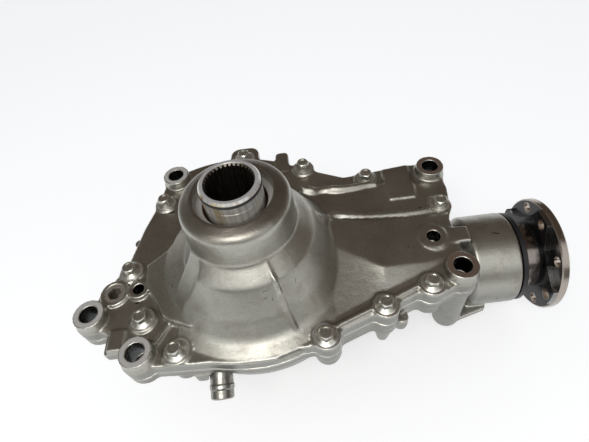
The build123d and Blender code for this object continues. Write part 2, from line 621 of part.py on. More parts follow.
def bevel_tooth(teeth, mate_teeth, module, face_width, tip, root, thickness, pressure, spiral):
    """One lofted bevel tooth about Z with the pitch cone's apex at the origin.

    Each section is the involute tooth of the equivalent spur gear on the back cone.
    tip, root and thickness are in modules at the large end; the sections shrink
    towards the apex and turn with the logarithm of their distance from it."""
    delta = atan2(teeth, mate_teeth)
    outer = module * teeth / 2 / sin(delta)
    spur_r = outer * tan(delta)
    base_r = spur_r * cos(pressure)
    half_pitch = thickness * module / 2 / spur_r + tan(pressure) - pressure

    def half_angle(radius):
        roll = acos(min(1.0, base_r / radius))
        return half_pitch - (tan(roll) - roll)

    sunk = spur_r - root * module - 0.7
    radii = [sunk, max(base_r, sunk + 0.8), spur_r, spur_r + tip * module]
    if base_r < sunk + 0.8:
        radii = [sunk, spur_r, spur_r + tip * module]
    flank = [(r * sin(half_angle(r)), r * cos(half_angle(r)) - spur_r) for r in radii]
    outline = flank + [(-x, y) for x, y in reversed(flank)]
    sections = []
    stations = 3 if spiral else 2
    for i in range(stations):
        distance = outer - face_width * (1 - i / (stations - 1))
        turn = tan(radians(spiral)) / sin(delta) * log(distance / outer)
        radial = Vector(cos(turn), sin(turn), 0)
        ray = radial * sin(delta) + Vector(0, 0, cos(delta))
        side = Vector(sin(turn), -cos(turn), 0)
        scale = distance / outer
        points = [(x * scale, y * scale) for x, y in outline]
        section = Plane(origin=ray * distance, x_dir=side, z_dir=ray)
        sections.append(section * make_face(Polyline(*points, close=True)))
    return loft(sections, ruled=not spiral)


def cone_point(teeth, mate_teeth, module, distance_share, depth):
    """Point (radius, height) at a depth under the pitch cone, at a share of the cone distance."""
    delta = atan2(teeth, mate_teeth)
    outer = module * teeth / 2 / sin(delta)
    a = outer * distance_share
    d = depth * distance_share
    return (a * sin(delta) - d * cos(delta), a * cos(delta) + d * sin(delta))


def toothed(body, tooth, teeth):
    """Fuses a ring of equal teeth to a gear body."""
    return body + [Rot(0, 0, 360 * i / teeth) * tooth for i in range(teeth)]


def cone_share(teeth, mate_teeth, module, face_width):
    """Share of the cone distance at which the small end of the teeth lies."""
    outer = module * teeth / 2 / sin(atan2(teeth, mate_teeth))
    return 1 - face_width / outer


def ring_gear():
    """Spiral bevel ring gear, teeth towards the pinion below it."""
    pair = (RING_TEETH, PINION_TEETH, BEVEL_MODULE)
    inner = cone_share(*pair, RING_FACE_WIDTH) - 0.01
    depth = RING_ROOT * BEVEL_MODULE
    root_in = cone_point(*pair, inner, depth)
    root_out = cone_point(*pair, 1.004, depth)
    back = RING_BACK_Z - PINION_AXIS_Z
    body = turned([
        (RING_PILOT_R + LOOSE_FIT, root_in[1] + 2), root_in, root_out, (RING_BODY_R, root_out[1] + 0.5),
        (RING_BODY_R, back - 1), (RING_BODY_R - 1, back), (RING_PILOT_R + LOOSE_FIT, back),
    ])
    thickness = pi / 2 - 2 * BEVEL_SHIFT * tan(BEVEL_PRESSURE) - BEVEL_BACKLASH / BEVEL_MODULE
    tooth = bevel_tooth(*pair, RING_FACE_WIDTH, RING_TIP, RING_ROOT, thickness, BEVEL_PRESSURE,
                        SPIRAL_ANGLE)
    gear = toothed(body, tooth, RING_TEETH)
    holes = [Rot(0, 0, 360 * i / RING_BOLTS) * rod(RING_BOLT_R + LOOSE_FIT, back - 6, back + 1,
                                                    RING_BOLT_CIRCLE_R)
             for i in range(RING_BOLTS)]
    return Pos(0, 0, PINION_AXIS_Z) * (gear - holes)


def ring_bolts():
    """Bolts that hold the ring gear to the case flange."""
    head_r, head_height = RING_BOLT_HEAD
    one = rod(RING_BOLT_R, RING_BACK_Z - 5.5, CASE_TOP_Z, RING_BOLT_CIRCLE_R)
    hexagon = extrude(RegularPolygon(head_r, 6, major_radius=False), head_height)
    one += Pos(RING_BOLT_CIRCLE_R, 0, CASE_TOP_Z) * hexagon
    return [Rot(0, 0, 360 * i / RING_BOLTS) * one for i in range(RING_BOLTS)]


def diff_case():
    """One-piece case with two windows, a spherical planet seat and hollow journals."""
    mid = DIFF_CENTRE_Z
    low_end = CASE_BOTTOM_Z - JOURNAL_LENGTH
    high_end = CASE_TOP_Z + 2 + JOURNAL_LENGTH
    body = turned([
        (0, low_end), (JOURNAL_R, low_end), (JOURNAL_R, CASE_BOTTOM_Z), (30, CASE_BOTTOM_Z),
        (CASE_R, CASE_BOTTOM_Z + 8), (CASE_R, RING_BACK_Z - 9), (RING_PILOT_R, RING_BACK_Z - 9),
        (RING_PILOT_R, RING_BACK_Z), (CASE_FLANGE_R, RING_BACK_Z), (CASE_FLANGE_R, CASE_TOP_Z),
        (30, CASE_TOP_Z), (30, CASE_TOP_Z + 2), (JOURNAL_R, CASE_TOP_Z + 2), (JOURNAL_R, high_end),
        (0, high_end),
    ])
    seat = Pos(0, 0, mid) * Sphere(CASE_SPHERE_R)
    seat &= rod(CASE_SPHERE_R + 1, mid - THRUST_HALF, mid + THRUST_HALF)
    cuts = [seat, rod(SIDE_HUB_R + RUNNING_FIT, low_end - 1, high_end + 1)]
    cuts.append(Pos(0, 0, mid) * Rot(90, 0, 0) * Cylinder(CROSS_PIN_R + 0.01, 2 * CASE_R + 2))
    window = extrude(Plane.YZ * Pos(0, mid) * RectangleRounded(*CASE_WINDOW), CASE_R + 5, both=True)
    cuts.append(window & rod(CASE_R + 0.5, 40, RING_BACK_Z - 3))
    cuts.append(lock_pin_rod(0.01))
    for i in range(RING_BOLTS):
        cuts.append(Rot(0, 0, 360 * i / RING_BOLTS)
                    * rod(RING_BOLT_R + LOOSE_FIT, RING_BACK_Z - 1, CASE_TOP_Z + 1, RING_BOLT_CIRCLE_R))
    return body - cuts


def lock_pin_rod(extra=0.0):
    """Space of the pin that locks the cross pin in the case."""
    return rod(LOCK_PIN_R + extra, DIFF_CENTRE_Z - 26, DIFF_CENTRE_Z + 18, 0, LOCK_PIN_INSET - CASE_R)


def cross_pin():
    """Planet shaft through the case, drilled for its locking pin."""
    pin = Pos(0, 0, DIFF_CENTRE_Z) * Rot(90, 0, 0) * Cylinder(CROSS_PIN_R, 2 * CASE_R - 1.5)
    return pin - lock_pin_rod(0.01)


def side_gear():
    """Side gear about Z with its apex at the origin and its hub towards +Z."""
    pair = (SIDE_TEETH, PLANET_TEETH, SIDE_MODULE)
    share = cone_share(*pair, SIDE_FACE_WIDTH) - 0.01
    depth = STUB_ROOT * SIDE_MODULE
    root_in = cone_point(*pair, share, depth)
    root_out = cone_point(*pair, 1.006, depth)
    back = THRUST_HALF - THRUST_WASHER - RUNNING_FIT
    body = turned([
        (SIDE_BORE_R, root_in[1] + 1.5), root_in, root_out, (root_out[0] + 0.2, back - 2.5),
        (25.2, back), (SIDE_HUB_R, back), (SIDE_HUB_R, back + 18), (SIDE_BORE_R, back + 18),
    ])
    thickness = pi / 2 - SIDE_BACKLASH / SIDE_MODULE
    tooth = bevel_tooth(*pair, SIDE_FACE_WIDTH, STUB_TIP, STUB_ROOT, thickness, STUB_PRESSURE, 0)
    return toothed(body, tooth, SIDE_TEETH)


def planet_gear():
    """Planet gear about Z with its apex at the origin and a spherical back."""
    pair = (PLANET_TEETH, SIDE_TEETH, SIDE_MODULE)
    share = cone_share(*pair, SIDE_FACE_WIDTH) - 0.01
    depth = STUB_ROOT * SIDE_MODULE
    root_in = cone_point(*pair, share, depth)
    root_out = cone_point(*pair, 1.006, depth)
    bore = CROSS_PIN_R + RUNNING_FIT
    body = turned([
        (bore, root_in[1] + 0.5), root_in, root_out, (17.5, root_out[1] + 1), (17.5, 40), (bore, 40),
    ])
    thickness = pi / 2 - SIDE_BACKLASH / SIDE_MODULE
    tooth = bevel_tooth(*pair, SIDE_FACE_WIDTH, STUB_TIP, STUB_ROOT, thickness, STUB_PRESSURE, 0)
    gear = toothed(body, tooth, PLANET_TEETH)
    return gear & Sphere(CASE_SPHERE_R - THRUST_WASHER - 2 * RUNNING_FIT)


def planet_washer():
    """Thin spherical washer behind a planet gear, about Z."""
    shell = Sphere(CASE_SPHERE_R - 0.02) - Sphere(CASE_SPHERE_R - THRUST_WASHER)
    return shell & (rod(16.5, 20, 50) - rod(CROSS_PIN_R + RUNNING_FIT, 20, 50))


def pinion():
    """Spiral bevel pinion and its stepped shaft, about Z, apex at the origin."""
    pair = (PINION_TEETH, RING_TEETH, BEVEL_MODULE)
    share = cone_share(*pair, RING_FACE_WIDTH) - 0.01
    depth = PINION_ROOT * BEVEL_MODULE
    root_in = cone_point(*pair, share, depth)
    root_out = cone_point(*pair, 1.006, depth)
    head_bore, _, head_width = HEAD_BEARING
    tail_bore, _, tail_width = TAIL_BEARING
    shoulder = HEAD_BEARING_X - PINION_SHIM
    head_end = HEAD_BEARING_X + head_width
    tail_end = TAIL_BEARING_X + tail_width
    body = turned([
        (0, root_in[1]), root_in, root_out, (22, root_out[1] + 1.2), (22, shoulder),
        (head_bore / 2, shoulder), (head_bore / 2, head_end), (16.2, head_end), (16.2, TAIL_BEARING_X),
        (tail_bore / 2, TAIL_BEARING_X), (tail_bore / 2, tail_end), (SPLINE_R, tail_end),
        (SPLINE_R, HUB_FLOOR_X), (THREAD_R, HUB_FLOOR_X), (THREAD_R, HUB_FLOOR_X + NUT_HEIGHT + 3),
        (THREAD_R - 1, HUB_FLOOR_X + NUT_HEIGHT + 4), (0, HUB_FLOOR_X + NUT_HEIGHT + 4),
    ])
    thickness = pi / 2 + 2 * BEVEL_SHIFT * tan(BEVEL_PRESSURE) - BEVEL_BACKLASH / BEVEL_MODULE
    tooth = bevel_tooth(*pair, RING_FACE_WIDTH, PINION_TIP, PINION_ROOT, thickness, BEVEL_PRESSURE,
                        -SPIRAL_ANGLE)
    return on_pinion_axis(toothed(body, tooth, PINION_TEETH))


def input_flange():
    """Drive flange: hub, four-lobed back plate and round bolting disc."""
    hub_start = TAIL_BEARING_X + TAIL_BEARING[2]
    hub = turned([
        (SPLINE_R + LOOSE_FIT, hub_start), (HUB_SEAL_R, hub_start), (HUB_SEAL_R, SNOUT_END_X + 0.8),
        (HUB_BODY_R, SNOUT_END_X + 0.8), (HUB_BODY_R, FLANGE_BACK_X), (SPLINE_R + LOOSE_FIT, FLANGE_BACK_X),
    ])
    disc = turned([
        (0, FLANGE_BACK_X), (INPUT_FLANGE_R - 0.8, FLANGE_BACK_X), (INPUT_FLANGE_R, FLANGE_BACK_X + 0.8),
        (INPUT_FLANGE_R, FLANGE_FRONT_X - 0.8), (INPUT_FLANGE_R - 0.8, FLANGE_FRONT_X),
        (0, FLANGE_FRONT_X),
    ])
    plate = rod(LOBED_PLATE_R, LOBED_PLATE_X, FLANGE_BACK_X)
    plate -= [Rot(0, 0, SCALLOP_TURN + 90 * i)
              * rod(SCALLOP_R, LOBED_PLATE_X - 1, FLANGE_BACK_X + 1, SCALLOP_CENTRE_R) for i in range(4)]
    cuts = [rod(24, HUB_FLOOR_X, FLANGE_FRONT_X + 1)]
    cuts.append(rod(SPLINE_R + LOOSE_FIT, hub_start - 1, HUB_FLOOR_X + 1))
    cuts += [Rot(0, 0, 45 * i) * rod(FLANGE_HOLE_R, LOBED_PLATE_X - 1, FLANGE_FRONT_X + 1,
                                     FLANGE_HOLE_CIRCLE_R) for i in range(8)]
    return on_pinion_axis(hub + disc + plate - cuts)


def pinion_nut():
    """Flanged nut on the pinion's thread."""
    body = extrude(RegularPolygon(18, 6, major_radius=False), NUT_HEIGHT)
    body += rod(20, 0, 2.5)
    body -= rod(THREAD_R + LOOSE_FIT, -1, NUT_HEIGHT + 1)
    return on_pinion_axis(Pos(0, 0, HUB_FLOOR_X) * body)


def crush_sleeve():
    """Thin spacer with a bulge that sets the pinion bearings' preload."""
    start = HEAD_BEARING_X + HEAD_BEARING[2]
    end = TAIL_BEARING_X
    mid = (start + end) / 2
    return on_pinion_axis(turned([
        (16.4, start), (19.4, start), (19.4, mid - 12), (21.8, mid), (19.4, mid + 12), (19.4, end),
        (16.4, end), (16.4, mid + 11), (18.8, mid), (16.4, mid - 11),
    ]))


def dust_deflector():
    """Pressed steel ring on the flange hub that covers the pinion seal."""
    start = SNOUT_END_X + 0.8
    return on_pinion_axis(turned([
        (HUB_BODY_R, start), (37.4, start), (37.4, start + 3.6), (35.6, start + 3.6),
        (35.6, start + 1.6), (HUB_BODY_R + 1.6, start + 1.6), (HUB_BODY_R + 1.6, start + 5),
        (HUB_BODY_R, start + 5),
    ]))


def output_sleeve():
    """Right output sleeve: splined socket on top, stub shaft into the side gear below."""
    collar = CASE_TOP_Z + 10.4
    floor = SLEEVE_FLOOR_Z
    spline_start = floor + SLEEVE_PILOT_LENGTH
    groove_low, groove_high = O_RING_Z - O_RING_R - 0.05, O_RING_Z + O_RING_R + 0.05
    body = turned([
        (6, 92), (SIDE_BORE_R, 92), (SIDE_BORE_R, collar), (17, collar), (17, floor - 6),
        (SLEEVE_R, floor - 2), (SLEEVE_R, groove_low), (O_RING_GROOVE_R, groove_low),
        (O_RING_GROOVE_R, groove_high), (SLEEVE_R, groove_high), (SLEEVE_R, SLEEVE_TOP_Z - 0.4),
        (SLEEVE_R - 0.4, SLEEVE_TOP_Z), (SLEEVE_BORE_R + 1.6, SLEEVE_TOP_Z),
        (SLEEVE_BORE_R, SLEEVE_TOP_Z - 1.8), (SLEEVE_BORE_R, spline_start),
        (SLEEVE_PILOT_R, spline_start), (SLEEVE_PILOT_R, floor), (6, floor - 3),
    ])
    body -= tube(SLEEVE_R + 1, SLEEVE_R - 0.4, SLEEVE_RIDGE_Z, SLEEVE_RIDGE_Z + 0.8)
    groove = Polyline((SLEEVE_BORE_R - 0.5, -0.95), (SLEEVE_BORE_R + SLEEVE_SPLINE_DEPTH, -0.55),
                      (SLEEVE_BORE_R + SLEEVE_SPLINE_DEPTH, 0.55), (SLEEVE_BORE_R - 0.5, 0.95), close=True)
    cut = slab(make_face(groove), spline_start, SLEEVE_TOP_Z)
    return body - [Rot(0, 0, 360 * i / SLEEVE_SPLINES) * cut for i in range(SLEEVE_SPLINES)]


def sleeve_o_ring():
    return Pos(0, 0, O_RING_Z) * Torus(O_RING_GROOVE_R + O_RING_R, O_RING_R)


def build_parts():
    """Every named piece of the differential, as a dictionary of name to solids."""
    parts = {
        "side_cover": side_cover(),
        "carrier_housing": carrier_housing(),
        "cover_bolts": [Pos(x, y, BOLT_SEAT_Z) * Rot(0, 0, turn) * cover_bolt()
                        for (x, y), turn in zip(COVER_BOLTS, BOLT_TURNS)],
        "locating_dowels": dowels(),
        "fill_plug": fill_plug(),
        "vent_nipple": vent_nipple(),
        "diff_case": diff_case(),
        "ring_gear": ring_gear(),
        "ring_gear_bolts": ring_bolts(),
        "cross_pin": cross_pin(),
        "cross_pin_lock": lock_pin_rod(),
        "output_sleeve": output_sleeve(),
        "sleeve_o_ring": sleeve_o_ring(),
        "pinion_shaft": pinion(),
        "crush_sleeve": crush_sleeve(),
        "input_flange": input_flange(),
        "pinion_nut": pinion_nut(),
        "dust_deflector": dust_deflector(),
    }
    centre = Pos(0, 0, DIFF_CENTRE_Z)
    half_turn = Rot(180, 0, 0)
    parts["right_side_gear"] = centre * side_gear()
    parts["left_side_gear"] = centre * half_turn * side_gear()
    parts["rear_planet_gear"] = centre * Rot(-90, 0, 0) * planet_gear()
    parts["front_planet_gear"] = centre * Rot(90, 0, 0) * planet_gear()
    parts["rear_planet_washer"] = centre * Rot(-90, 0, 0) * planet_washer()
    parts["front_planet_washer"] = centre * Rot(90, 0, 0) * planet_washer()
    thrust = tube(25.0, SIDE_HUB_R + 0.1, THRUST_HALF - THRUST_WASHER, THRUST_HALF)
    parts["right_thrust_washer"] = centre * thrust
    parts["left_thrust_washer"] = centre * half_turn * thrust

    case_size = (2 * JOURNAL_R, CASE_BEARING_OD, CASE_BEARING_WIDTH)
    upright = Pos(0, 0, CASE_TOP_Z + 2 + CASE_BEARING_WIDTH) * half_turn
    places = {
        "right_case": (upright, case_size, 18),
        "left_case": (Pos(0, 0, CASE_BOTTOM_Z - CASE_BEARING_WIDTH), case_size, 18),
        "pinion_head": (on_pinion_axis(Pos(0, 0, HEAD_BEARING_X + HEAD_BEARING[2]) * half_turn),
                        HEAD_BEARING, 16),
        "pinion_tail": (on_pinion_axis(Pos(0, 0, TAIL_BEARING_X)), TAIL_BEARING, 14),
    }
    for name, (place, size, rollers) in places.items():
        cup, cone, ring = taper_bearing(*size, rollers)
        parts[name + "_cup"] = place * cup
        parts[name + "_cone"] = place * cone
        parts[name + "_rollers"] = [place * roller for roller in ring]

    shim = tube(CASE_BEARING_R - 0.1, 33.5, 0, SHIM_THICK)
    parts["right_case_shim"] = Pos(0, 0, CASE_TOP_Z + 2 + CASE_BEARING_WIDTH) * shim
    parts["left_case_shim"] = Pos(0, 0, CASE_BOTTOM_Z - CASE_BEARING_WIDTH - SHIM_THICK) * shim
    parts["pinion_shim"] = on_pinion_axis(
        tube(21.5, HEAD_BEARING[0] / 2, HEAD_BEARING_X - PINION_SHIM, HEAD_BEARING_X))
    parts["right_output_seal"] = Pos(0, 0, RIGHT_SEAL_Z) * oil_seal(
        SLEEVE_R + 0.08, SEAL_OUTER_R, SEAL_WIDTH)
    parts["left_output_seal"] = Pos(0, 0, LEFT_SEAL_Z + SEAL_WIDTH) * half_turn * oil_seal(
        LEFT_SEAL_LIP_R, SEAL_OUTER_R, SEAL_WIDTH)
    parts["pinion_seal"] = on_pinion_axis(
        Pos(0, 0, SNOUT_END_X - 11) * oil_seal(HUB_SEAL_R + 0.08, TAIL_BEARING[1] / 2, SEAL_WIDTH))
    return parts


os.makedirs("parts", exist_ok=True)
for part_name, shape in build_parts().items():
    solids = shape if isinstance(shape, list) else [shape]
    bodies = [solid for piece in solids for solid in piece.solids()]
    export_step(bodies[0] if len(bodies) == 1 else Compound(bodies), "parts/" + part_name + ".step")
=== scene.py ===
"""Front differential: looks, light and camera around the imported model. Metres, +Z up."""

import json
import math

import bmesh
import bpy
from mathutils import Matrix, Vector
from mathutils.bvhtree import BVHTree


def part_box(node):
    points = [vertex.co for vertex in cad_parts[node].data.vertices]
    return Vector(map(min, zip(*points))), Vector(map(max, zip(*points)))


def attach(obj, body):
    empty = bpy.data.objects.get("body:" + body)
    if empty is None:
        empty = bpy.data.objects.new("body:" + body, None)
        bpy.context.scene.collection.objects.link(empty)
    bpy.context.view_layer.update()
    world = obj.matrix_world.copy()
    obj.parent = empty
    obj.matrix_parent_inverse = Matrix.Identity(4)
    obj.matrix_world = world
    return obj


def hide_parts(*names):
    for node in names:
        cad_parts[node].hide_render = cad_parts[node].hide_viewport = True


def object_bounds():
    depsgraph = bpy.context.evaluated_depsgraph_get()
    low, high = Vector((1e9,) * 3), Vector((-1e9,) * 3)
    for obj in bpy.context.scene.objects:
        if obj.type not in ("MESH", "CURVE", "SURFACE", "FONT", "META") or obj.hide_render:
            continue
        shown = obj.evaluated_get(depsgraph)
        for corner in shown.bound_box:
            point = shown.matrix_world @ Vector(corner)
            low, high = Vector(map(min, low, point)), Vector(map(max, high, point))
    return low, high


MM = 0.001

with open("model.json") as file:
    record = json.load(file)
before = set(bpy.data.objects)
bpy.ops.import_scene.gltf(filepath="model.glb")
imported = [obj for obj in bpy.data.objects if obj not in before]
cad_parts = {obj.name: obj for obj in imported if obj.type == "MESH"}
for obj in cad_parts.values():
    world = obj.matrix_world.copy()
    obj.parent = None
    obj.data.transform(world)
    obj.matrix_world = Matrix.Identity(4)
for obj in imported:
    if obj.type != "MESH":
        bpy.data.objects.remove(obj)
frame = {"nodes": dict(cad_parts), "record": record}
cad_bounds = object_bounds()
mounts = {mount["name"]: mount for mount in frame["record"]["mounts"]}
bore_mounts = [mount for name, mount in mounts.items() if name.startswith("mount_bore_")]
flange_mount = mounts["input_flange"]


def in_mm(point):
    """A place of the frame in millimetres, to the micron."""
    return [round(c / MM, 3) for c in point]


def high_corner(node):
    """Highest X, Y and Z of a CAD node in millimetres."""
    return in_mm(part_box(node)[1])


# Camera: its place, the direction that it looks in and the image's right-hand direction
CAMERA_PLACE = Vector((0.0490, -0.1970, 0.3968))
CAMERA_VIEW = Vector((-0.0352, 0.6307, -0.7753))
CAMERA_RIGHT = Vector((0.9920, -0.0718, -0.1035))
CLIP_START = 0.01
CLIP_END = 50.0

# Camera's sensor and lens in millimetres
SENSOR_WIDTH = 36.0
LENS = 26.02

# Places on the castings, in millimetres, from the frame where it gives them
MOUNT_BOSSES = [tuple(in_mm(mount["pos_m"])[:2]) for mount in bore_mounts]
MOUNT_FACE_Z = in_mm(mounts["mounting_plane"]["pos_m"])[2]
MOUNT_FACE_R = 11.9
MOUNT_BORE_R = bore_mounts[0]["dims"]["r_mm"]
ABOVE_BOSSES_Z = 130.0
COVER_BOLTS = [
    (-100.0, -0.4), (-83.9, -45.0), (-55.4, -72.8), (50.9, -74.2), (96.1, -55.6), (132.8, -42.7),
    (158.9, 30.8), (103.8, 71.3), (48.9, 94.9), (-80.0, 71.1), (-7.0, 118.0),
]
BOLT_SEAT_Z = 115.8
BOLT_SEAT_R = 10.2
SMALL_HOLES = [(144.8, -1.9), (-90.9, -18.5)]
SMALL_HOLE_R = 5.2
PINION_AXIS_Z = in_mm(flange_mount["pos_m"])[2]
SNOUT_END_X = high_corner("carrier_housing")[0]
CAP_TOP_Z = high_corner("side_cover")[2]
CUT_FACE_SLACK = 0.35

# Output sleeve, O-ring and seal
SLEEVE_TOP_Z = high_corner("output_sleeve")[2]
SLEEVE_R = 21.0
SLEEVE_INSIDE_R = 17.4
CHAMFER = 1.25
TOP_SLACK = 0.2
GROOVE_DEPTHS = (0.5, 2.6)
GROOVE_SHIFTS = (CHAMFER, CHAMFER + 0.1)
GROOVE_FLOOR_R = 19.0
O_RING_DEPTH = 3.2
O_RING_CENTRE_R = 20.15
O_RING_THICK_R = 1.45
O_RING_STEPS = 144
O_RING_SIDES = 20
SEAL_RUBBER_R = 23.0

# Input flange
DISC_FRONT_X = in_mm(flange_mount["pos_m"])[0]
DISC_BACK_X = 235.5
DISC_R = 47.0
BEYOND_DISC_R = 60.0
RIM_INSIDE_R = DISC_R - 1.2
PLATE_FACE_X = 231.2
PLATE_EDGE_R = 33.0
HUB_START_X = 200.0
HUB_R = 32.0
FLANGE_HOLE_R = flange_mount["dims"]["hole_r_mm"]
FLANGE_HOLE_CIRCLE_R = flange_mount["dims"]["pcd_mm"] / 2
FLANGE_HOLE_COUNT = flange_mount["dims"]["count"]

# Low cast forms of the cover: steps and rib in plan, blocks by their corners
UPPER_STEP = [(44, 58), (54, 56), (66, 57), (79, 56), (92, 57.3), (103, 59.2), (112, 59.5)]
LOWER_STEP = [(58, 11), (63, 18), (70, 22.5), (82, 21.5), (99, 20.8), (124, 21.4), (141, 23.5), (151, 26)]
STEP_SIZES = ((4.4, 6.6), (2.3, 3.2))
STEP_LEAN = 0.65
RIB_ANGLE = -66.0
RIB_REACH = (40.9, 58.0)
RIB_SIZES = ((1.0, 1.0), (1.4, 1.7))
HOLE_RING_R = 11.6
HOLE_RING_SIZE = (1.5, 1.3)
HOLE_RING_STEPS = 48
BEAD_SIDES = 14
SNOUT_BLOCK = ((157.5, -8.2, 104.5), (173.5, 6.3, 115.4))
CORNER_BLOCK = ((-107.5, -68.0, 104.5), (-95.5, -51.0, 116.6))
BARE_PAD = [(120.3, 80.0, 115.6), (144.2, 82.5, 115.6), (142.3, 41.7, 117.7), (119.1, 40.3, 119.3)]
BARE_PAD_DEPTH = 6.0
RIM_POCKET = ((18.5, -84.6, 108.8), (30.5, -81.9, 108.6))
RIM_POCKET_R = 4.6
RIM_POCKET_DEPTH = 2.6
ABOVE_ALL = 0.25

# Rounding of the cast skins: voxels and rounds of smoothing, in a full run and in a quick one
CAST_VOXELS = (0.95 * MM, 2.0 * MM)
CAST_ROUNDS = (7, 3)
CAP_RIM_ROUNDS = (140, 20)
SPOT_ROUNDS = (70, 10)
SMOOTH_FACTOR = 0.5

# Cap's rim: the span of its radius and of its height
CAP_RIM_SPAN = ((31.0, 44.0), (176.0, 194.0))

# Spots where creases melt away: each one's centre and radius
SOFT_SPOTS = [(50, 8, 150, 22), (45, 25, 142, 24), (60, 4, 134, 18), (42, 42, 128, 20), (160, 71, 113, 22)]

# Faces that stay crisp: how far from an axis, how far in height, and the share of smoothing left
CRISP_BOSS = (MOUNT_FACE_R + 1.0, 1.6, 0.15)
CRISP_SEAT = (BOLT_SEAT_R + 0.6, 0.9, 0.3)

# The same for the snout's end and the cap's top: how far along X, how far in height, and the share
CRISP_ENDS = (1.5, 1.2, 0.4)

# Linear colours of the metals, of what lies on them and of painted shade
PALE_METAL = (0.56, 0.555, 0.50)
DULL_METAL = (0.44, 0.43, 0.385)
BRIGHT_METAL = (0.74, 0.73, 0.70)
STEEL = (0.52, 0.51, 0.49)
DARK_STEEL = (0.20, 0.19, 0.18)
BEARING_METAL = (0.60, 0.60, 0.59)
# Brown film; scaled down, it is also painted shade in the casting's hollows
BROWN_FILM_AND_SHADE = (0.33, 0.27, 0.225)
# Painted brown shade on the cut faces at the right
CUT_SHADE_BROWN = (0.17, 0.115, 0.085)
# Painted shade on the cap's top
CAP_TOP_SHADE = (0.17, 0.13, 0.11)
# Painted shade on the walls under the rim
UNDER_RIM_SHADE = (0.105, 0.11, 0.11)
# Nearly black: dark scratches, and painted shade in the bores
SCRATCH_AND_BORE_SHADE = (0.006, 0.005, 0.005)
STRAW = (0.55, 0.42, 0.20)
IRONS = ((0.085, 0.08, 0.075), (0.16, 0.15, 0.14))

# Linear colours of the input flange
BLACK = (0.012, 0.012, 0.013)
WORN_BLACK = (0.030, 0.028, 0.027)
SCUFF = (0.12, 0.115, 0.11)
PLATE_EDGES = ((0.16, 0.16, 0.155), (0.30, 0.295, 0.28))
HUB_METALS = ((0.34, 0.31, 0.29), (0.20, 0.17, 0.155))
HOLE_BROWN = (0.36, 0.25, 0.17)
RIM_METALS = ((0.44, 0.40, 0.36), (0.27, 0.225, 0.185))

# Linear colours of the sleeve, the seal, the plating and the rubber
SLEEVE_METAL = (0.80, 0.78, 0.74)
# Gold and brown: partly tint, partly painted reflection
SLEEVE_GOLD_TINT_AND_REFLECTION = (0.62, 0.50, 0.27)
SLEEVE_BROWN_TINT_AND_REFLECTION = (0.34, 0.20, 0.11)
SLEEVE_LINES = (0.40, 0.38, 0.35)
# Painted reflection stripes
SLEEVE_REFLECTION_STRIPES = (0.26, 0.22, 0.19)
# Painted shade in the sleeve's bore
SLEEVE_INSIDE = (0.055, 0.04, 0.032)
SLEEVE_ENDS = ((0.80, 0.80, 0.80), (0.55, 0.55, 0.55))
SEAL_METAL = (0.88, 0.87, 0.84)
RED_RUBBER = (0.10, 0.035, 0.025)
RUBBER = (0.018, 0.017, 0.017)
ZINC = (0.66, 0.67, 0.62)
ZINC_EDGE = (0.82, 0.81, 0.77)
ZINC_STAIN = (0.26, 0.24, 0.20)
BOLT_TINT = (0.40, 0.385, 0.33)
NIPPLE_TINT = (0.20, 0.18, 0.155)
NIPPLE_LEVEL = 0.55
PLUG_TINT = (0.20, 0.165, 0.135)
PLUG_LEVEL = 0.38

# Directions of the cast skin's scratches, as stretches of their pattern
SCRATCH_STRETCHES = ((90, 260, 1100), (1000, 140, 110))

# Turning marks on machined faces, in radians for each metre from the axis
TURNING_MARKS = 9000

# Bevels: the least angle of an edge, and the nodes whose edges show, in millimetres
BEVEL_ANGLE = math.radians(32)
NODE_BEVELS = {
    "cover_bolts": 0.35, "fill_plug": 0.4, "vent_nipple": 0.4, "input_flange": 0.3,
    "dust_deflector": 0.25, "pinion_nut": 0.4, "output_sleeve": 0.15,
}

# Key light: place, aim, size, power and colour
KEY_LIGHT = ((-0.10, -0.50, 0.95), (0.02, 0, 0.12), (0.55, 0.30), 3.0, (1.0, 0.99, 0.95))

# Boards that only reflections show: name, place, size, aim and colour
CARDS = [
    ("ceiling", (0.45, 1.05, 1.15), (4.8, 2.9), (0.45, 1.05, 0.0), (0.115, 0.088, 0.070)),
    ("back_wall", (0.3, 2.2, 0.65), (4.6, 1.1), (0.3, 0.0, 0.65), (0.10, 0.078, 0.062)),
    ("front_board", (0.0, -2.0, 0.42), (5.0, 0.84), (0.0, 0.0, 0.42), (0.17, 0.165, 0.145)),
    ("left_board", (-1.40, 0.20, 0.75), (2.0, 1.6), (0, 0, 0.3), (0.19, 0.185, 0.165)),
    ("right_board", (1.70, 0.10, 0.70), (2.4, 1.6), (0.05, 0, 0.3), (0.15, 0.12, 0.095)),
]
SOFT_SKY = (0.94, 0.96, 1.0)
SOFT_SKY_LEVEL = 0.5
FLOOR_SIZE = (8, 8)
FLOOR_DROP = 0.0002
FLOOR_GREY = 0.78
FLOOR_GLOW = 0.485


def scaled(colour, factor):
    return tuple(factor * c for c in colour)


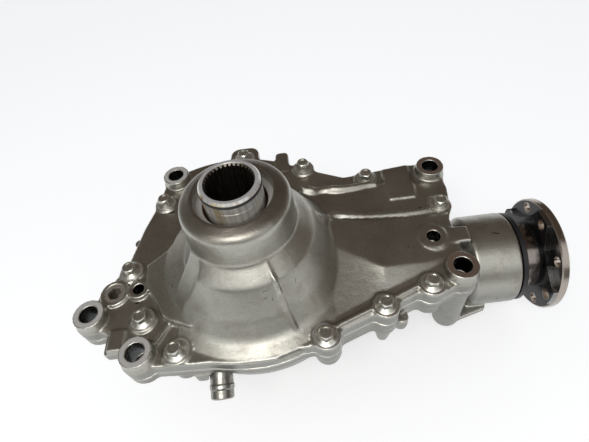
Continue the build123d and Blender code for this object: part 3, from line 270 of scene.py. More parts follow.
class Graph:
    """A node material under construction."""

    def __init__(self, name):
        self.material = bpy.data.materials.new(name)
        self.material.use_nodes = True
        self.nodes = self.material.node_tree.nodes
        self.links = self.material.node_tree.links
        self.nodes.clear()
        self.shader = self.nodes.new("ShaderNodeBsdfPrincipled")
        out = self.nodes.new("ShaderNodeOutputMaterial")
        self.links.new(self.shader.outputs["BSDF"], out.inputs["Surface"])
        self.place = self.nodes.new("ShaderNodeTexCoord").outputs["Object"]

    def put(self, socket, value):
        if isinstance(value, bpy.types.NodeSocket):
            self.links.new(value, socket)
        elif isinstance(value, tuple) and len(value) == 3 and socket.type == "RGBA":
            socket.default_value = (*value, 1)
        else:
            socket.default_value = value

    def set(self, **values):
        """Sets inputs of the surface shader; an underscore stands for a space."""
        for name, value in values.items():
            self.put(self.shader.inputs[name.replace("_", " ")], value)

    def math(self, operation, a, b=0.0, clamp=False):
        node = self.nodes.new("ShaderNodeMath")
        node.operation = operation
        node.use_clamp = clamp
        self.put(node.inputs[0], a)
        self.put(node.inputs[1], b)
        return node.outputs[0]

    def times(self, a, b):
        return self.math("MULTIPLY", a, b)

    def stretch(self, vector, scale):
        node = self.nodes.new("ShaderNodeVectorMath")
        node.operation = "MULTIPLY"
        self.put(node.inputs[0], vector)
        node.inputs[1].default_value = scale
        return node.outputs[0]

    def split(self, vector=None):
        node = self.nodes.new("ShaderNodeSeparateXYZ")
        self.put(node.inputs[0], vector or self.place)
        return node.outputs

    def join(self, x, y, z):
        node = self.nodes.new("ShaderNodeCombineXYZ")
        for socket, value in zip(node.inputs, (x, y, z)):
            self.put(socket, value)
        return node.outputs[0]

    def noise(self, scale, detail=4.0, roughness=0.55, vector=None, distortion=0.0):
        node = self.nodes.new("ShaderNodeTexNoise")
        self.put(node.inputs["Vector"], vector or self.place)
        node.inputs["Scale"].default_value = scale
        node.inputs["Detail"].default_value = detail
        node.inputs["Roughness"].default_value = roughness
        node.inputs["Distortion"].default_value = distortion
        return node.outputs["Fac"]

    def lines(self, along, across, scale, detail):
        """Fine lines that repeat along one or two measures of the surface."""
        second = self.times(across, scale) if across is not None else 0.0
        return self.noise(1.0, detail, 0.6, vector=self.join(self.times(along, scale), second, 0.0))

    def cells(self, scale):
        node = self.nodes.new("ShaderNodeTexVoronoi")
        self.put(node.inputs["Vector"], self.place)
        node.inputs["Scale"].default_value = scale
        return node.outputs["Distance"]

    def remap(self, value, low, high, out_low=0.0, out_high=1.0):
        node = self.nodes.new("ShaderNodeMapRange")
        for socket, number in zip(node.inputs[:5], (value, low, high, out_low, out_high)):
            self.put(socket, number)
        return node.outputs[0]

    def blend(self, share, a, b):
        node = self.nodes.new("ShaderNodeMix")
        node.data_type = "RGBA"
        self.put(node.inputs[0], share)
        self.put(node.inputs[6], a)
        self.put(node.inputs[7], b)
        return node.outputs[2]

    def bump(self, height, distance, strength=1.0):
        node = self.nodes.new("ShaderNodeBump")
        self.put(node.inputs["Height"], height)
        node.inputs["Distance"].default_value = distance
        node.inputs["Strength"].default_value = strength
        self.put(self.shader.inputs["Normal"], node.outputs[0])

    def up(self):
        """How far the surface faces up, from -1 to 1."""
        return self.split(self.nodes.new("ShaderNodeTexCoord").outputs["Normal"])[2]

    def edge(self):
        """Over 0.5 on sharp edges and under it in corners."""
        return self.nodes.new("ShaderNodeNewGeometry").outputs["Pointiness"]

    def radius(self, axis="z"):
        """Distance from the ring gear's axis or from the pinion's."""
        x, y, z = self.split()
        if axis == "z":
            flat = self.join(x, y, 0.0)
        else:
            flat = self.join(0.0, y, self.math("SUBTRACT", z, PINION_AXIS_Z * MM))
        node = self.nodes.new("ShaderNodeVectorMath")
        node.operation = "LENGTH"
        self.put(node.inputs[0], flat)
        return node.outputs["Value"]

    def nearest(self, flat, points):
        """Distance from a flattened place to the nearest of some points in millimetres."""
        found = None
        for point in points:
            node = self.nodes.new("ShaderNodeVectorMath")
            node.operation = "DISTANCE"
            self.put(node.inputs[0], flat)
            node.inputs[1].default_value = tuple(c * MM for c in point)
            distance = node.outputs["Value"]
            found = distance if found is None else self.math("MINIMUM", found, distance)
        return found

    def nearest_upright(self, centres):
        """Distance in plan to the nearest of some upright axes."""
        x, y, _ = self.split()
        return self.nearest(self.join(x, y, 0.0), [(cx, cy, 0) for cx, cy in centres])

    def nearest_across(self, centres):
        """Distance to the nearest of some axes that lie along X, given as Y and Z."""
        _, y, z = self.split()
        return self.nearest(self.join(0.0, y, z), [(0, cy, cz) for cy, cz in centres])

    def band(self, value, low, high, soft=0.0001):
        """1 between two values and 0 outside them, with soft ends."""
        rise = self.remap(value, low - soft, low + soft)
        fall = self.remap(value, high - soft, high + soft, 1.0, 0.0)
        return self.times(rise, fall)


def cast_colour(g, brown_share, stains, patches, grain):
    """Dull and pale metal under a brown film, with grain, bright specks and scratches."""
    base = g.blend(g.remap(stains, 0.36, 0.64), DULL_METAL, PALE_METAL)
    base = g.blend(g.remap(patches, 0.5, 0.72, 0, brown_share), base, BROWN_FILM_AND_SHADE)
    base = g.blend(g.remap(grain, 0.3, 0.7, 0.0, 0.5), base, scaled(PALE_METAL, 0.5))
    specks = g.noise(2600, 2, 0.6)
    base = g.blend(g.remap(specks, 0.62, 0.72, 0.0, 0.30), base, BRIGHT_METAL)
    for stretch in SCRATCH_STRETCHES:
        strokes = g.noise(1.0, 1, 0.5, vector=g.stretch(g.place, stretch))
        where = g.remap(g.noise(24, 2, 0.5), 0.58, 0.64)
        base = g.blend(g.times(g.remap(strokes, 0.70, 0.74, 0.0, 0.8), where), base, SCRATCH_AND_BORE_SHADE)
    return base


def machined_faces(g, z, to_boss, to_bolt):
    """1 on the mounting faces, which are cut flat after casting, less on bolt seats, 0 elsewhere."""
    at_boss = g.band(z, (MOUNT_FACE_Z - CUT_FACE_SLACK) * MM, ABOVE_BOSSES_Z * MM)
    boss_face = g.times(at_boss, g.band(to_boss, 0, MOUNT_FACE_R * MM))
    at_seat = g.band(z, (BOLT_SEAT_Z - CUT_FACE_SLACK) * MM, (BOLT_SEAT_Z + CUT_FACE_SLACK) * MM)
    bolt_face = g.times(at_seat, g.band(to_bolt, 0, BOLT_SEAT_R * MM))
    either = g.math("MAXIMUM", boss_face, g.times(bolt_face, 0.6))
    return g.times(either, g.remap(g.up(), 0.93, 0.985))


def inside_bores(g, to_boss):
    """1 on the walls of the mounting bores and of the small holes, 0 elsewhere."""
    to_hole = g.nearest_upright(SMALL_HOLES)
    mount = g.remap(to_boss, (MOUNT_BORE_R + 0.5) * MM, (MOUNT_BORE_R + 0.2) * MM)
    small = g.remap(to_hole, (SMALL_HOLE_R + 0.4) * MM, (SMALL_HOLE_R + 0.1) * MM)
    return g.times(g.math("MAXIMUM", mount, small), g.remap(g.up(), 0.6, 0.4))


def cut_metal(g, x, to_boss, to_bolt):
    """Cut metal with turning marks, with painted light at the left and painted brown shade at the right.
    """
    # Painted light and shade: bright at the left, brown at the right
    cut_light_and_shade = g.blend(g.remap(x, 0.02, 0.10), BRIGHT_METAL, CUT_SHADE_BROWN)
    turning = g.math("SINE", g.times(g.math("MINIMUM", to_boss, to_bolt), TURNING_MARKS))
    return g.blend(g.remap(turning, -1, 1, 0.0, 0.4), cut_light_and_shade, g.blend(0.5, cut_light_and_shade, BROWN_FILM_AND_SHADE))


def with_painted_shade(g, base, z, inside):
    """Painted shade in the bores, on the walls under the rim and on the cap's top."""
    # Painted shade in the bores: full deep down, a little less near the mouth
    depth = g.remap(z, (MOUNT_FACE_Z - 9) * MM, (MOUNT_FACE_Z - 1.0) * MM, 1.0, 0.75)
    base = g.blend(g.times(inside, depth), base, SCRATCH_AND_BORE_SHADE)
    # Painted shade on walls that face sideways or down below the rim
    side = g.times(g.remap(g.up(), 0.45, 0.0), g.remap(z, 119 * MM, 112 * MM))
    base = g.blend(g.times(side, 0.55), base, UNDER_RIM_SHADE)
    # Painted shade on the cap's upward faces, which also dims their highlight
    cap_top = g.times(g.remap(z, 179 * MM, 190 * MM), g.remap(g.up(), 0.35, 0.95))
    return g.blend(g.times(cap_top, 0.5), base, CAP_TOP_SHADE)


def cast_relief(g, grain, machined):
    """Fine bumps and pits, nearly flat on machined faces."""
    pits = g.times(g.remap(g.cells(330), 0.0, 0.12, -0.9, 0.0), g.remap(g.noise(60, 2), 0.55, 0.62))
    height = g.math("ADD", g.times(grain, 0.55), g.times(g.noise(180, 3), 0.8))
    plain = g.math("SUBTRACT", 1.0, g.times(machined, 0.85))
    g.bump(g.times(g.math("ADD", height, pits), plain), 0.00034, 0.6)


def cast_aluminium(name, brown_share):
    """Die-cast skin: fine grain, stains, brown film, bright edges that are partly wear and partly painted
    highlight, painted shade in hollows, and machined faces.
    """
    g = Graph(name)
    x, _, z = g.split()
    stains = g.noise(16, 5, 0.6, distortion=0.4)
    patches = g.noise(70, 4, 0.6)
    grain = g.noise(900, 3, 0.7)
    edge = g.edge()
    # Bright sharp edges: partly wear, partly painted highlight
    wear_and_highlight = g.times(g.remap(edge, 0.515, 0.56), g.remap(g.noise(220, 3), 0.3, 0.6, 0.35, 1.0))
    # Painted shade in concave corners
    hollow_shade = g.remap(edge, 0.485, 0.44)
    to_boss = g.nearest_upright(MOUNT_BOSSES)
    to_bolt = g.nearest_upright(COVER_BOLTS)
    machined = machined_faces(g, z, to_boss, to_bolt)
    inside = inside_bores(g, to_boss)

    base = cast_colour(g, brown_share, stains, patches, grain)
    base = g.blend(g.times(wear_and_highlight, 0.85), base, BRIGHT_METAL)
    base = g.blend(g.times(hollow_shade, 0.6), base, scaled(BROWN_FILM_AND_SHADE, 0.35))
    base = g.blend(machined, base, cut_metal(g, x, to_boss, to_bolt))
    # Painted shade in the bores, under the rim and on the cap's top
    base = with_painted_shade(g, base, z, inside)
    rough = g.remap(g.math("ADD", stains, g.times(patches, 0.6)), 0.5, 1.1, 0.29, 0.43)
    for share, amount in ((wear_and_highlight, 0.12), (machined, 0.12), (inside, 0.17)):
        rough = g.math("SUBTRACT", rough, g.times(share, amount))
    g.set(Base_Color=base, Metallic=g.math("SUBTRACT", 0.97, g.times(machined, 0.55)), Roughness=rough)
    cast_relief(g, grain, machined)
    return g.material


def turned_steel(name, colour, roughness, stained):
    """Turned or ground steel with fine rings round its axis and a thin oily stain."""
    g = Graph(name)
    radius = g.radius()
    along = g.split()[2]
    rings = g.noise(1.0, 3, 0.7, vector=g.join(g.times(radius, 7000), g.times(along, 7000), 0.0))
    cloud = g.noise(60, 4, 0.6)
    base = g.blend(g.remap(rings, 0.3, 0.7, 0.0, 0.45), colour, scaled(colour, 0.62))
    base = g.blend(g.remap(cloud, 0.45, 0.75, 0.0, stained), base, STRAW)
    # Bright sharp edges: partly wear, partly painted highlight
    wear_and_highlight = g.remap(g.edge(), 0.52, 0.58)
    base = g.blend(g.times(wear_and_highlight, 0.6), base, BRIGHT_METAL)
    rough = g.remap(cloud, 0.3, 0.7, roughness - 0.05, roughness + 0.08)
    g.set(Base_Color=base, Metallic=1.0, Roughness=rough)
    g.bump(rings, 0.00004, 0.5)
    return g.material


def gear_steel():
    """Case-hardened gear steel: dark grey with oily brown patches and bright tooth edges."""
    g = Graph("gear_steel")
    cloud = g.noise(45, 5, 0.6)
    grain = g.noise(700, 3, 0.6)
    base = g.blend(g.remap(cloud, 0.35, 0.7), DARK_STEEL, scaled(STEEL, 0.7))
    base = g.blend(g.remap(cloud, 0.55, 0.75, 0.0, 0.4), base, scaled(STRAW, 0.6))
    base = g.blend(g.remap(g.edge(), 0.52, 0.6, 0.0, 0.9), base, BRIGHT_METAL)
    g.set(Base_Color=base, Metallic=1.0, Roughness=g.remap(grain, 0.3, 0.7, 0.24, 0.36))
    g.bump(grain, 0.00006, 0.5)
    return g.material


def cast_iron():
    """Dark cast iron with a coarse grain and bare edges."""
    g = Graph("case_iron")
    grain = g.noise(650, 4, 0.65)
    cloud = g.noise(35, 4, 0.6)
    base = g.blend(g.remap(cloud, 0.35, 0.65), *IRONS)
    base = g.blend(g.remap(g.edge(), 0.52, 0.6, 0.0, 0.7), base, STEEL)
    g.set(Base_Color=base, Metallic=0.9, Roughness=g.remap(grain, 0.3, 0.7, 0.42, 0.6))
    g.bump(grain, 0.0002, 0.6)
    return g.material


def flange_holes():
    """Centres of the input flange's bolt holes, as Y and Z."""
    turns = [math.tau * i / FLANGE_HOLE_COUNT for i in range(FLANGE_HOLE_COUNT)]
    return [(FLANGE_HOLE_CIRCLE_R * math.cos(turn), PINION_AXIS_Z + FLANGE_HOLE_CIRCLE_R * math.sin(turn))
            for turn in turns]


def black_steel():
    """Black lobed plate on a polished hub, with a turned rim and bright walls in the holes."""
    g = Graph("black_steel")
    x, _, _ = g.split()
    radius = g.radius("x")
    disc = g.band(x, (DISC_BACK_X - 0.1) * MM, (DISC_FRONT_X + 0.2) * MM)
    beyond = BEYOND_DISC_R * MM
    rim = g.times(disc, g.band(radius, RIM_INSIDE_R * MM, beyond))
    plate = g.band(x, (PLATE_FACE_X + 0.25) * MM, (DISC_BACK_X - 0.1) * MM)
    plate_edge = g.times(plate, g.band(radius, PLATE_EDGE_R * MM, beyond))
    hub = g.times(g.band(x, HUB_START_X * MM, (PLATE_FACE_X - 2.5) * MM), g.band(radius, 0.0, HUB_R * MM))
    to_hole = g.nearest_across(flange_holes())
    wall = g.remap(to_hole, (FLANGE_HOLE_R + 0.35) * MM, (FLANGE_HOLE_R + 0.1) * MM)
    scuffs = g.noise(260, 4, 0.65)
    cloud = g.noise(40, 4, 0.6)
    turned = g.lines(x, radius, 9000, 2)
    base = g.blend(g.remap(cloud, 0.4, 0.7), BLACK, WORN_BLACK)
    base = g.blend(g.remap(scuffs, 0.62, 0.78, 0.0, 0.5), base, SCUFF)
    base = g.blend(plate_edge, base, g.blend(scuffs, *PLATE_EDGES))
    base = g.blend(hub, base, g.blend(cloud, *HUB_METALS))
    base = g.blend(wall, base, g.blend(scuffs, BRIGHT_METAL, HOLE_BROWN))
    base = g.blend(rim, base, g.blend(g.remap(turned, 0.3, 0.7, 0.0, 0.5), *RIM_METALS))
    bare = g.math("MAXIMUM", g.math("MAXIMUM", rim, wall), g.math("MAXIMUM", hub, plate_edge))
    rough = g.math("ADD", g.remap(scuffs, 0.3, 0.7, 0.14, 0.26), g.times(rim, 0.02))
    g.set(Base_Color=base, Metallic=g.math("MAXIMUM", bare, 0.55), Roughness=rough)
    g.bump(g.math("ADD", scuffs, g.times(turned, 0.2)), 0.00005, 0.4)
    return g.material


def zinc_plate(name, tint, level=1.0):
    """Zinc-plated steel with a faint warm passivation, dulled in patches."""
    g = Graph(name)
    cloud = g.noise(320, 4, 0.6)
    grain = g.noise(1500, 2, 0.6)
    base = g.blend(g.remap(cloud, 0.3, 0.7), scaled(ZINC, level), tint)
    base = g.blend(g.remap(g.noise(500, 3), 0.62, 0.74, 0.0, 0.4), base, ZINC_STAIN)
    base = g.blend(g.remap(g.edge(), 0.53, 0.6, 0.0, 0.9), base, ZINC_EDGE)
    g.set(Base_Color=base, Metallic=0.9, Roughness=g.remap(cloud, 0.3, 0.7, 0.20, 0.36))
    g.bump(g.math("ADD", grain, cloud), 0.00006, 0.5)
    return g.material


def rubber(name, colour):
    """Matt black rubber or paint with a little dust."""
    g = Graph(name)
    grain = g.noise(1100, 3, 0.6)
    dust = g.noise(90, 4, 0.6)
    dusty = tuple(2.6 * c + 0.01 for c in colour)
    base = g.blend(g.remap(dust, 0.5, 0.8, 0.0, 0.35), colour, dusty)
    g.set(Base_Color=base, Roughness=g.remap(grain, 0.3, 0.7, 0.36, 0.55))
    g.bump(grain, 0.00005, 0.6)
    return g.material


def seal_finish():
    """Lip seal: bright steel case outside, brown-red rubber inside."""
    g = Graph("output_seal")
    radius = g.radius()
    soft = g.remap(radius, (SEAL_RUBBER_R - 0.15) * MM, (SEAL_RUBBER_R + 0.15) * MM, 1.0, 0.0)
    rings = g.lines(radius, None, 6000, 2)
    cloud = g.noise(120, 3, 0.6)
    steel = g.blend(g.remap(rings, 0.3, 0.7, 0.0, 0.5), SEAL_METAL, STEEL)
    red = g.blend(g.remap(cloud, 0.3, 0.7), RED_RUBBER, scaled(RED_RUBBER, 0.4))
    g.set(Base_Color=g.blend(soft, steel, red), Metallic=g.math("SUBTRACT", 0.5, soft, clamp=True),
          Roughness=g.math("ADD", g.times(soft, 0.12), 0.28))
    g.bump(rings, 0.00005, 0.5)
    return g.material


def sleeve_finish():
    """Output sleeve: brushed end; ground outside with gold and brown bands, partly tint and partly painted
    reflection, and painted reflection stripes; splines darkened by painted shade.
    """
    g = Graph("output_sleeve")
    x, y, z = g.split()
    radius = g.radius()
    turn = g.math("ARCTAN2", y, x)
    # Bands that are partly tint and partly painted reflection
    tint_and_reflection_bands = g.noise(1.0, 3, 0.6, vector=g.join(g.times(turn, 3.2), g.times(z, 22), 0.0))
    rings = g.lines(z, radius, 7000, 2)
    # Painted reflection: dark stripes along the ground surface
    reflection_stripes = g.noise(1.0, 2, 0.5, vector=g.join(g.times(turn, 9), 0.0, 0.0))
    ground = g.blend(g.remap(tint_and_reflection_bands, 0.50, 0.64), SLEEVE_METAL, SLEEVE_GOLD_TINT_AND_REFLECTION)
    ground = g.blend(g.remap(tint_and_reflection_bands, 0.64, 0.76), ground, SLEEVE_BROWN_TINT_AND_REFLECTION)
    ground = g.blend(g.remap(rings, 0.3, 0.7, 0.0, 0.3), ground, SLEEVE_LINES)
    ground = g.blend(g.remap(reflection_stripes, 0.45, 0.62, 0.0, 0.4), ground, SLEEVE_REFLECTION_STRIPES)
    inside = g.remap(radius, (SLEEVE_INSIDE_R + 0.2) * MM, (SLEEVE_INSIDE_R - 0.2) * MM)
    # Painted shade in the sleeve's splined bore
    base = g.blend(g.times(inside, 0.75), ground, SLEEVE_INSIDE)
    top = g.remap(z, (SLEEVE_TOP_Z - 0.25) * MM, (SLEEVE_TOP_Z - 0.1) * MM)
    base = g.blend(top, base, g.blend(g.remap(rings, 0.3, 0.7), *SLEEVE_ENDS))
    outside = g.math("SUBTRACT", 1.0, inside)
    g.set(Base_Color=base, Metallic=g.math("SUBTRACT", 1.0, g.times(outside, 0.5)),
          Roughness=g.math("ADD", 0.17, g.times(inside, 0.2)))
    g.bump(rings, 0.00004, 0.5)
    return g.material


def new_object(name, mesh):
    obj = bpy.data.objects.new(name, mesh)
    bpy.context.scene.collection.objects.link(obj)
    return obj


def evaluated_mesh(obj):
    deps = bpy.context.evaluated_depsgraph_get()
    return bpy.data.meshes.new_from_object(obj.evaluated_get(deps), depsgraph=deps)


def for_run(full_and_quick):
    return full_and_quick[0]


def near_axis(x, y, axes, reach):
    return any(math.hypot(x - cx, y - cy) < reach for cx, cy in axes)


def machined_share(point):
    """Under 1 on faces that are cut flat after casting and must stay crisp."""
    x, y, z = (c / MM for c in point)
    reach, height, share = CRISP_BOSS
    if z > MOUNT_FACE_Z - height and near_axis(x, y, MOUNT_BOSSES, reach):
        return share
    reach, height, share = CRISP_SEAT
    if abs(z - BOLT_SEAT_Z) < height and near_axis(x, y, COVER_BOLTS, reach):
        return share
    length, height, share = CRISP_ENDS
    if x > SNOUT_END_X - length or z > CAP_TOP_Z - height:
        return share
    return 1.0


def smooth_route(points, steps=10):
    """Points along a smooth curve through the given ones."""
    ends = [points[0]] + list(points) + [points[-1]]
    route = []
    for a, b, c, d in zip(ends, ends[1:], ends[2:], ends[3:]):
        for k in range(steps):
            t = k / steps
            route.append(tuple(0.5 * (2 * q + (r - p) * t + (2 * p - 5 * q + 4 * r - u) * t * t
                                      + (3 * q - p - 3 * r + u) * t ** 3)
                               for p, q, r, u in zip(a, b, c, d)))
    route.append(tuple(points[-1]))
    return route


def bead_ring(build, centre, along, size, lean):
    """One cross-section of a bead: vertices round its centre, across its direction in plan."""
    x, y, z = centre
    width, height = size
    ring = []
    for j in range(BEAD_SIDES):
        turn = math.tau * j / BEAD_SIDES
        lift = height * math.sin(turn)
        side = width * (math.cos(turn) + lean * max(0.0, math.sin(turn)))
        place = (x - along.y * side, y + along.x * side, z + lift)
        ring.append(build.verts.new(tuple(c * MM for c in place)))
    return ring


def add_bead(build, tree, route, sizes, lean=0.0, closed=False):
    """Half-buried bead on the casting: sizes are its half width and height at its two ends.

    A lean sets its crest back by that share of the half width, which leaves a long front slope.
    """
    rings = []
    count = len(route)
    for i, (x, y) in enumerate(route):
        share = i / (count - 1)
        size = [a + (b - a) * share for a, b in zip(*sizes)]
        ahead = Vector(route[(i + 1) % count if closed else min(i + 1, count - 1)])
        behind = Vector(route[i - 1 if closed else max(i - 1, 0)])
        along = (ahead - behind).normalized()
        hit = tree.ray_cast(Vector((x * MM, y * MM, ABOVE_ALL)), Vector((0, 0, -1)))[0]
        rings.append(bead_ring(build, (x, y, hit.z / MM), along, size, lean))
    pairs = list(zip(rings, rings[1:])) + ([(rings[-1], rings[0])] if closed else [])
    for near, far in pairs:
        for j in range(BEAD_SIDES):
            k = (j + 1) % BEAD_SIDES
            build.faces.new((near[j], near[k], far[k], far[j]))
    if not closed:
        build.faces.new(rings[0][::-1])
        build.faces.new(rings[-1])


def add_prism(build, low, high):
    """Closed solid between two four-cornered faces, the lower one and the upper one."""
    lower = [build.verts.new(tuple(c * MM for c in corner)) for corner in low]
    upper = [build.verts.new(tuple(c * MM for c in corner)) for corner in high]
    build.faces.new(lower[::-1])
    build.faces.new(upper)
    for i in range(4):
        j = (i + 1) % 4
        build.faces.new((lower[i], lower[j], upper[j], upper[i]))


def add_block(build, low, high):
    (x0, y0, z0), (x1, y1, z1) = low, high
    plan = [(x0, y0), (x1, y0), (x1, y1), (x0, y1)]
    add_prism(build, [(x, y, z0) for x, y in plan], [(x, y, z1) for x, y in plan])


def rib_route():
    """Line in plan of the thin rib that runs down the dome's shoulder."""
    turn = math.radians(RIB_ANGLE)
    start, end = ((radius * math.cos(turn), radius * math.sin(turn)) for radius in RIB_REACH)
    middle = tuple((a + b) / 2 for a, b in zip(start, end))
    return smooth_route([start, middle, end])


def add_cover_forms(mesh):
    """Low cast forms of the cover: two steps, a rib, a ring, two blocks and a bare pad."""
    build = bmesh.new()
    build.from_mesh(mesh)
    tree = BVHTree.FromBMesh(build)
    for step in (UPPER_STEP, LOWER_STEP):
        add_bead(build, tree, smooth_route(step), STEP_SIZES, STEP_LEAN)
    add_bead(build, tree, rib_route(), RIB_SIZES)
    cx, cy = SMALL_HOLES[0]
    turns = [math.tau * i / HOLE_RING_STEPS for i in range(HOLE_RING_STEPS)]
    circle = [(cx + HOLE_RING_R * math.cos(turn), cy + HOLE_RING_R * math.sin(turn)) for turn in turns]
    add_bead(build, tree, circle, (HOLE_RING_SIZE, HOLE_RING_SIZE), closed=True)
    add_block(build, *SNOUT_BLOCK)
    add_block(build, *CORNER_BLOCK)
    pad = BARE_PAD[::-1]
    add_prism(build, [(x, y, z - BARE_PAD_DEPTH) for x, y, z in pad], pad)
    build.to_mesh(mesh)
    build.free()


def smooth_shares(skin, name, shares, rounds):
    """Smooths the skin as far as each vertex's share says, and keeps the result."""
    members = {}
    for index, share in shares.items():
        members.setdefault(share, []).append(index)
    group = skin.vertex_groups.new(name=name)
    for share, indices in members.items():
        group.add(indices, share, "REPLACE")
    smooth = skin.modifiers.new(name, "SMOOTH")
    smooth.factor = SMOOTH_FACTOR
    smooth.iterations = rounds
    smooth.vertex_group = name
    skin.data = evaluated_mesh(skin)
    skin.modifiers.clear()


def soften_casting(skin):
    """Rounds every edge of the casting, machined faces least."""
    shares = {vertex.index: machined_share(vertex.co) for vertex in skin.data.vertices}
    smooth_shares(skin, "cast", shares, for_run(CAST_ROUNDS))


def soften_cap_rim(skin):
    """Large radius where the distance from the ring axis and the height lie in the rim's span."""
    (near, far), (low, high) = CAP_RIM_SPAN
    shares = {}
    for vertex in skin.data.vertices:
        x, y, z = vertex.co
        radius = math.hypot(x, y) / MM
        inside = min(radius - near, far - radius, z / MM - low, high - z / MM)
        if inside > 0:
            shares[vertex.index] = min(1.0, inside / 2.0)
    smooth_shares(skin, "soft", shares, for_run(CAP_RIM_ROUNDS))


def soften_spots(skin):
    """Melts the creases round the foot of the neck and of one boss into large radii."""
    shares = {}
    for vertex in skin.data.vertices:
        place = vertex.co / MM
        share = max(1 - (place - Vector(spot[:3])).length / spot[3] for spot in SOFT_SPOTS)
        if share > 0:
            shares[vertex.index] = min(1.0, 2.5 * share) * machined_share(vertex.co)
    smooth_shares(skin, "spots", shares, for_run(SPOT_ROUNDS))


def press_pocket(skin):
    """Shallow oval pocket in the outer face of the cover's front rim."""
    start, end = (Vector(c) * MM for c in RIM_POCKET)
    along = end - start
    for vertex in skin.data.vertices:
        share = min(1.0, max(0.0, (vertex.co - start).dot(along) / along.length_squared))
        away = (vertex.co - start - along * share).length / (RIM_POCKET_R * MM)
        if away < 1:
            vertex.co.y += RIM_POCKET_DEPTH * MM * min(1.0, 2.2 * (1 - away * away))


def cast_skin(node, name, material):
    """Cast surface over a CAD casting: every edge rounded, machined faces left crisp."""
    skin = new_object(name, frame["nodes"][node].data.copy())
    if node == "side_cover":
        add_cover_forms(skin.data)
    remesh = skin.modifiers.new("cast", "REMESH")
    remesh.mode = "VOXEL"
    remesh.voxel_size = for_run(CAST_VOXELS)
    skin.data = evaluated_mesh(skin)
    skin.modifiers.clear()
    soften_casting(skin)
    if node == "side_cover":
        soften_cap_rim(skin)
        soften_spots(skin)
        press_pocket(skin)
    skin.data.materials.clear()
    skin.data.materials.append(material)
    skin.data.shade_smooth()
    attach(skin, "housing")
    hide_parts(node)


def sleeve_body(material):
    """Output sleeve with a lead-in chamfer at its top and its groove moved below it."""
    skin = new_object("sleeve_body", frame["nodes"]["output_sleeve"].data.copy())
    for vertex in skin.data.vertices:
        x, y, z = vertex.co
        radius, depth = math.hypot(x, y), SLEEVE_TOP_Z * MM - z
        if depth < GROOVE_DEPTHS[1] * MM and radius > GROOVE_FLOOR_R * MM:
            if depth < TOP_SLACK * MM:
                share = (SLEEVE_R - CHAMFER) * MM / radius
                vertex.co = (x * share, y * share, z)
            elif depth < GROOVE_DEPTHS[0] * MM:
                vertex.co.z = z - GROOVE_SHIFTS[0] * MM
            else:
                vertex.co.z = z - GROOVE_SHIFTS[1] * MM
    skin.data.materials.clear()
    skin.data.materials.append(material)
    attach(skin, "right_output")
    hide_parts("output_sleeve")


def o_ring_body(material):
    """O-ring in the sleeve's groove."""
    build = bmesh.new()
    rows = []
    for i in range(O_RING_STEPS):
        turn = math.tau * i / O_RING_STEPS
        row = []
        for j in range(O_RING_SIDES):
            tilt = math.tau * j / O_RING_SIDES
            radius = O_RING_CENTRE_R + O_RING_THICK_R * math.cos(tilt)
            height = SLEEVE_TOP_Z - O_RING_DEPTH + O_RING_THICK_R * math.sin(tilt)
            place = (radius * math.cos(turn) * MM, radius * math.sin(turn) * MM, height * MM)
            row.append(build.verts.new(place))
        rows.append(row)
    for i, row in enumerate(rows):
        ahead = rows[(i + 1) % len(rows)]
        for j in range(O_RING_SIDES):
            k = (j + 1) % O_RING_SIDES
            build.faces.new((row[j], ahead[j], ahead[k], row[k]))
    mesh = bpy.data.meshes.new("o_ring_body")
    build.to_mesh(mesh)
    build.free()
    mesh.shade_smooth()
    mesh.materials.append(material)
    ring = new_object("o_ring_body", mesh)
    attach(ring, "right_output")
    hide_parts("sleeve_o_ring")


def dress(node, material, bevel):
    """Gives a CAD node its material and, where its edges show, a fine bevel."""
    obj = frame["nodes"][node]
    if not obj.material_slots:
        obj.data.materials.append(material)
    for slot in obj.material_slots:
        slot.material = material
    if bevel:
        edge = obj.modifiers.new("edge", "BEVEL")
        edge.width = bevel
        edge.segments = 2
        edge.limit_method = "ANGLE"
        edge.angle_limit = BEVEL_ANGLE
        edge.use_clamp_overlap = True
        edge.harden_normals = True


def dress_nodes():
    """Every CAD node that shows gets the finish of its slot, or one of its own."""
    finishes = {
        "machined_steel": turned_steel("machined_steel", STEEL, 0.26, 0.15),
        "gear_steel": gear_steel(),
        "bearing_steel": turned_steel("bearing_steel", BEARING_METAL, 0.16, 0.08),
        "case_iron": cast_iron(),
        "black_steel": black_steel(),
        "zinc_bolts": zinc_plate("zinc_bolts", BOLT_TINT),
        "plated_nipple": zinc_plate("plated_nipple", NIPPLE_TINT, NIPPLE_LEVEL),
        "seal_rubber": rubber("seal_rubber", RUBBER),
    }
    single = {
        "right_output_seal": seal_finish(),
        "fill_plug": zinc_plate("plug_plate", PLUG_TINT, PLUG_LEVEL),
        "dust_deflector": rubber("deflector_paint", BLACK),
    }
    for part in frame["record"]["subparts"]:
        node, slot = part["node"], part["material_slot"]
        if slot != "cast_aluminium":
            dress(node, single.get(node, finishes[slot]), NODE_BEVELS.get(node, 0.0) * MM)


def add_camera():
    data = bpy.data.cameras.new("camera")
    data.sensor_fit = "HORIZONTAL"
    data.sensor_width = SENSOR_WIDTH
    data.lens = LENS
    data.clip_start = CLIP_START
    data.clip_end = CLIP_END
    camera = new_object("camera", data)
    back = -CAMERA_VIEW.normalized()
    right = (CAMERA_RIGHT - back * CAMERA_RIGHT.dot(back)).normalized()
    up = back.cross(right)
    turn = Matrix((right, up, back)).transposed()
    camera.matrix_world = Matrix.Translation(CAMERA_PLACE) @ turn.to_4x4()
    bpy.context.scene.camera = camera


def facing(place, aim):
    return (Vector(aim) - Vector(place)).to_track_quat("-Z", "Y").to_euler()


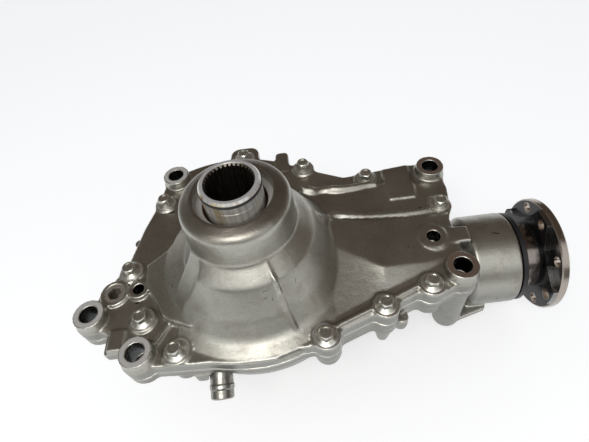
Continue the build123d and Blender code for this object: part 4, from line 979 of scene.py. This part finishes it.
def add_key_light():
    place, aim, size, power, colour = KEY_LIGHT
    data = bpy.data.lights.new("key", "AREA")
    data.shape = "RECTANGLE"
    data.size, data.size_y = size
    data.energy = power
    data.color = colour
    lamp = new_object("key", data)
    lamp.location = place
    lamp.rotation_euler = facing(place, aim)


def seen_directly(nodes, links):
    """Output that is 1 for camera, glossy and transmission rays."""
    path = nodes.new("ShaderNodeLightPath")
    first = nodes.new("ShaderNodeMath")
    first.operation = "MAXIMUM"
    links.new(path.outputs["Is Camera Ray"], first.inputs[0])
    links.new(path.outputs["Is Glossy Ray"], first.inputs[1])
    second = nodes.new("ShaderNodeMath")
    second.operation = "MAXIMUM"
    links.new(first.outputs[0], second.inputs[0])
    links.new(path.outputs["Is Transmission Ray"], second.inputs[1])
    return second.outputs[0]


def background(nodes, colour, strength):
    node = nodes.new("ShaderNodeBackground")
    node.inputs["Color"].default_value = (*colour, 1)
    node.inputs["Strength"].default_value = strength
    return node.outputs[0]


def set_world():
    """White where it is seen or mirrored, and a soft dim sky for all else."""
    world = bpy.data.worlds.new("studio")
    bpy.context.scene.world = world
    world.use_nodes = True
    world.cycles.sampling_method = "NONE"
    nodes, links = world.node_tree.nodes, world.node_tree.links
    nodes.clear()
    out = nodes.new("ShaderNodeOutputWorld")
    mix = nodes.new("ShaderNodeMixShader")
    links.new(seen_directly(nodes, links), mix.inputs[0])
    links.new(background(nodes, SOFT_SKY, SOFT_SKY_LEVEL), mix.inputs[1])
    links.new(background(nodes, (1, 1, 1), 1.0), mix.inputs[2])
    links.new(mix.outputs[0], out.inputs["Surface"])


def empty_material(name):
    """Material with nothing but an output node: the material, its nodes, links and output."""
    material = bpy.data.materials.new(name)
    material.use_nodes = True
    nodes, links = material.node_tree.nodes, material.node_tree.links
    nodes.clear()
    return material, nodes, links, nodes.new("ShaderNodeOutputMaterial")


def stage_plane(name, place, size):
    half_x, half_y = size[0] / 2, size[1] / 2
    mesh = bpy.data.meshes.new(name)
    corners = [(-half_x, -half_y, 0), (half_x, -half_y, 0), (half_x, half_y, 0), (-half_x, half_y, 0)]
    mesh.from_pydata(corners, [], [(0, 1, 2, 3)])
    plane = new_object(name, mesh)
    plane.location = place
    return plane


def add_floor():
    """Pale floor that renders white but keeps a soft shadow."""
    floor = stage_plane("floor", (0, 0, cad_bounds[0][2] - FLOOR_DROP), FLOOR_SIZE)
    material, nodes, links, out = empty_material("floor")
    diffuse = nodes.new("ShaderNodeBsdfDiffuse")
    diffuse.inputs["Color"].default_value = (FLOOR_GREY, FLOOR_GREY, FLOOR_GREY, 1)
    glow = nodes.new("ShaderNodeEmission")
    links.new(seen_directly(nodes, links), glow.inputs["Strength"])
    glow.inputs["Color"].default_value = (FLOOR_GLOW, FLOOR_GLOW, FLOOR_GLOW, 1)
    both = nodes.new("ShaderNodeAddShader")
    links.new(diffuse.outputs[0], both.inputs[0])
    links.new(glow.outputs[0], both.inputs[1])
    links.new(both.outputs[0], out.inputs["Surface"])
    floor.data.materials.append(material)


def add_card(name, place, size, aim, colour):
    """Board outside the view that only reflections show."""
    card = stage_plane(name, place, size)
    card.rotation_euler = facing(place, aim)
    material, nodes, links, out = empty_material(name)
    glow = nodes.new("ShaderNodeEmission")
    glow.inputs["Color"].default_value = (*colour, 1)
    links.new(glow.outputs[0], out.inputs["Surface"])
    card.data.materials.append(material)
    card.visible_camera = False
    card.visible_diffuse = False
    card.visible_shadow = False
    card.visible_transmission = False


# The housing gets a larger share of brown patches than the cover, so it is darker lower down
cast_skin("side_cover", "side_cover_skin", cast_aluminium("cast_cover", 0.45))
cast_skin("carrier_housing", "carrier_housing_skin", cast_aluminium("cast_housing", 0.6))
dress_nodes()
sleeve_body(sleeve_finish())
o_ring_body(rubber("o_ring_rubber", BLACK))
add_camera()
set_world()
add_floor()
add_key_light()
for card in CARDS:
    add_card(*card)
bpy.context.scene.view_settings.view_transform = "Standard"
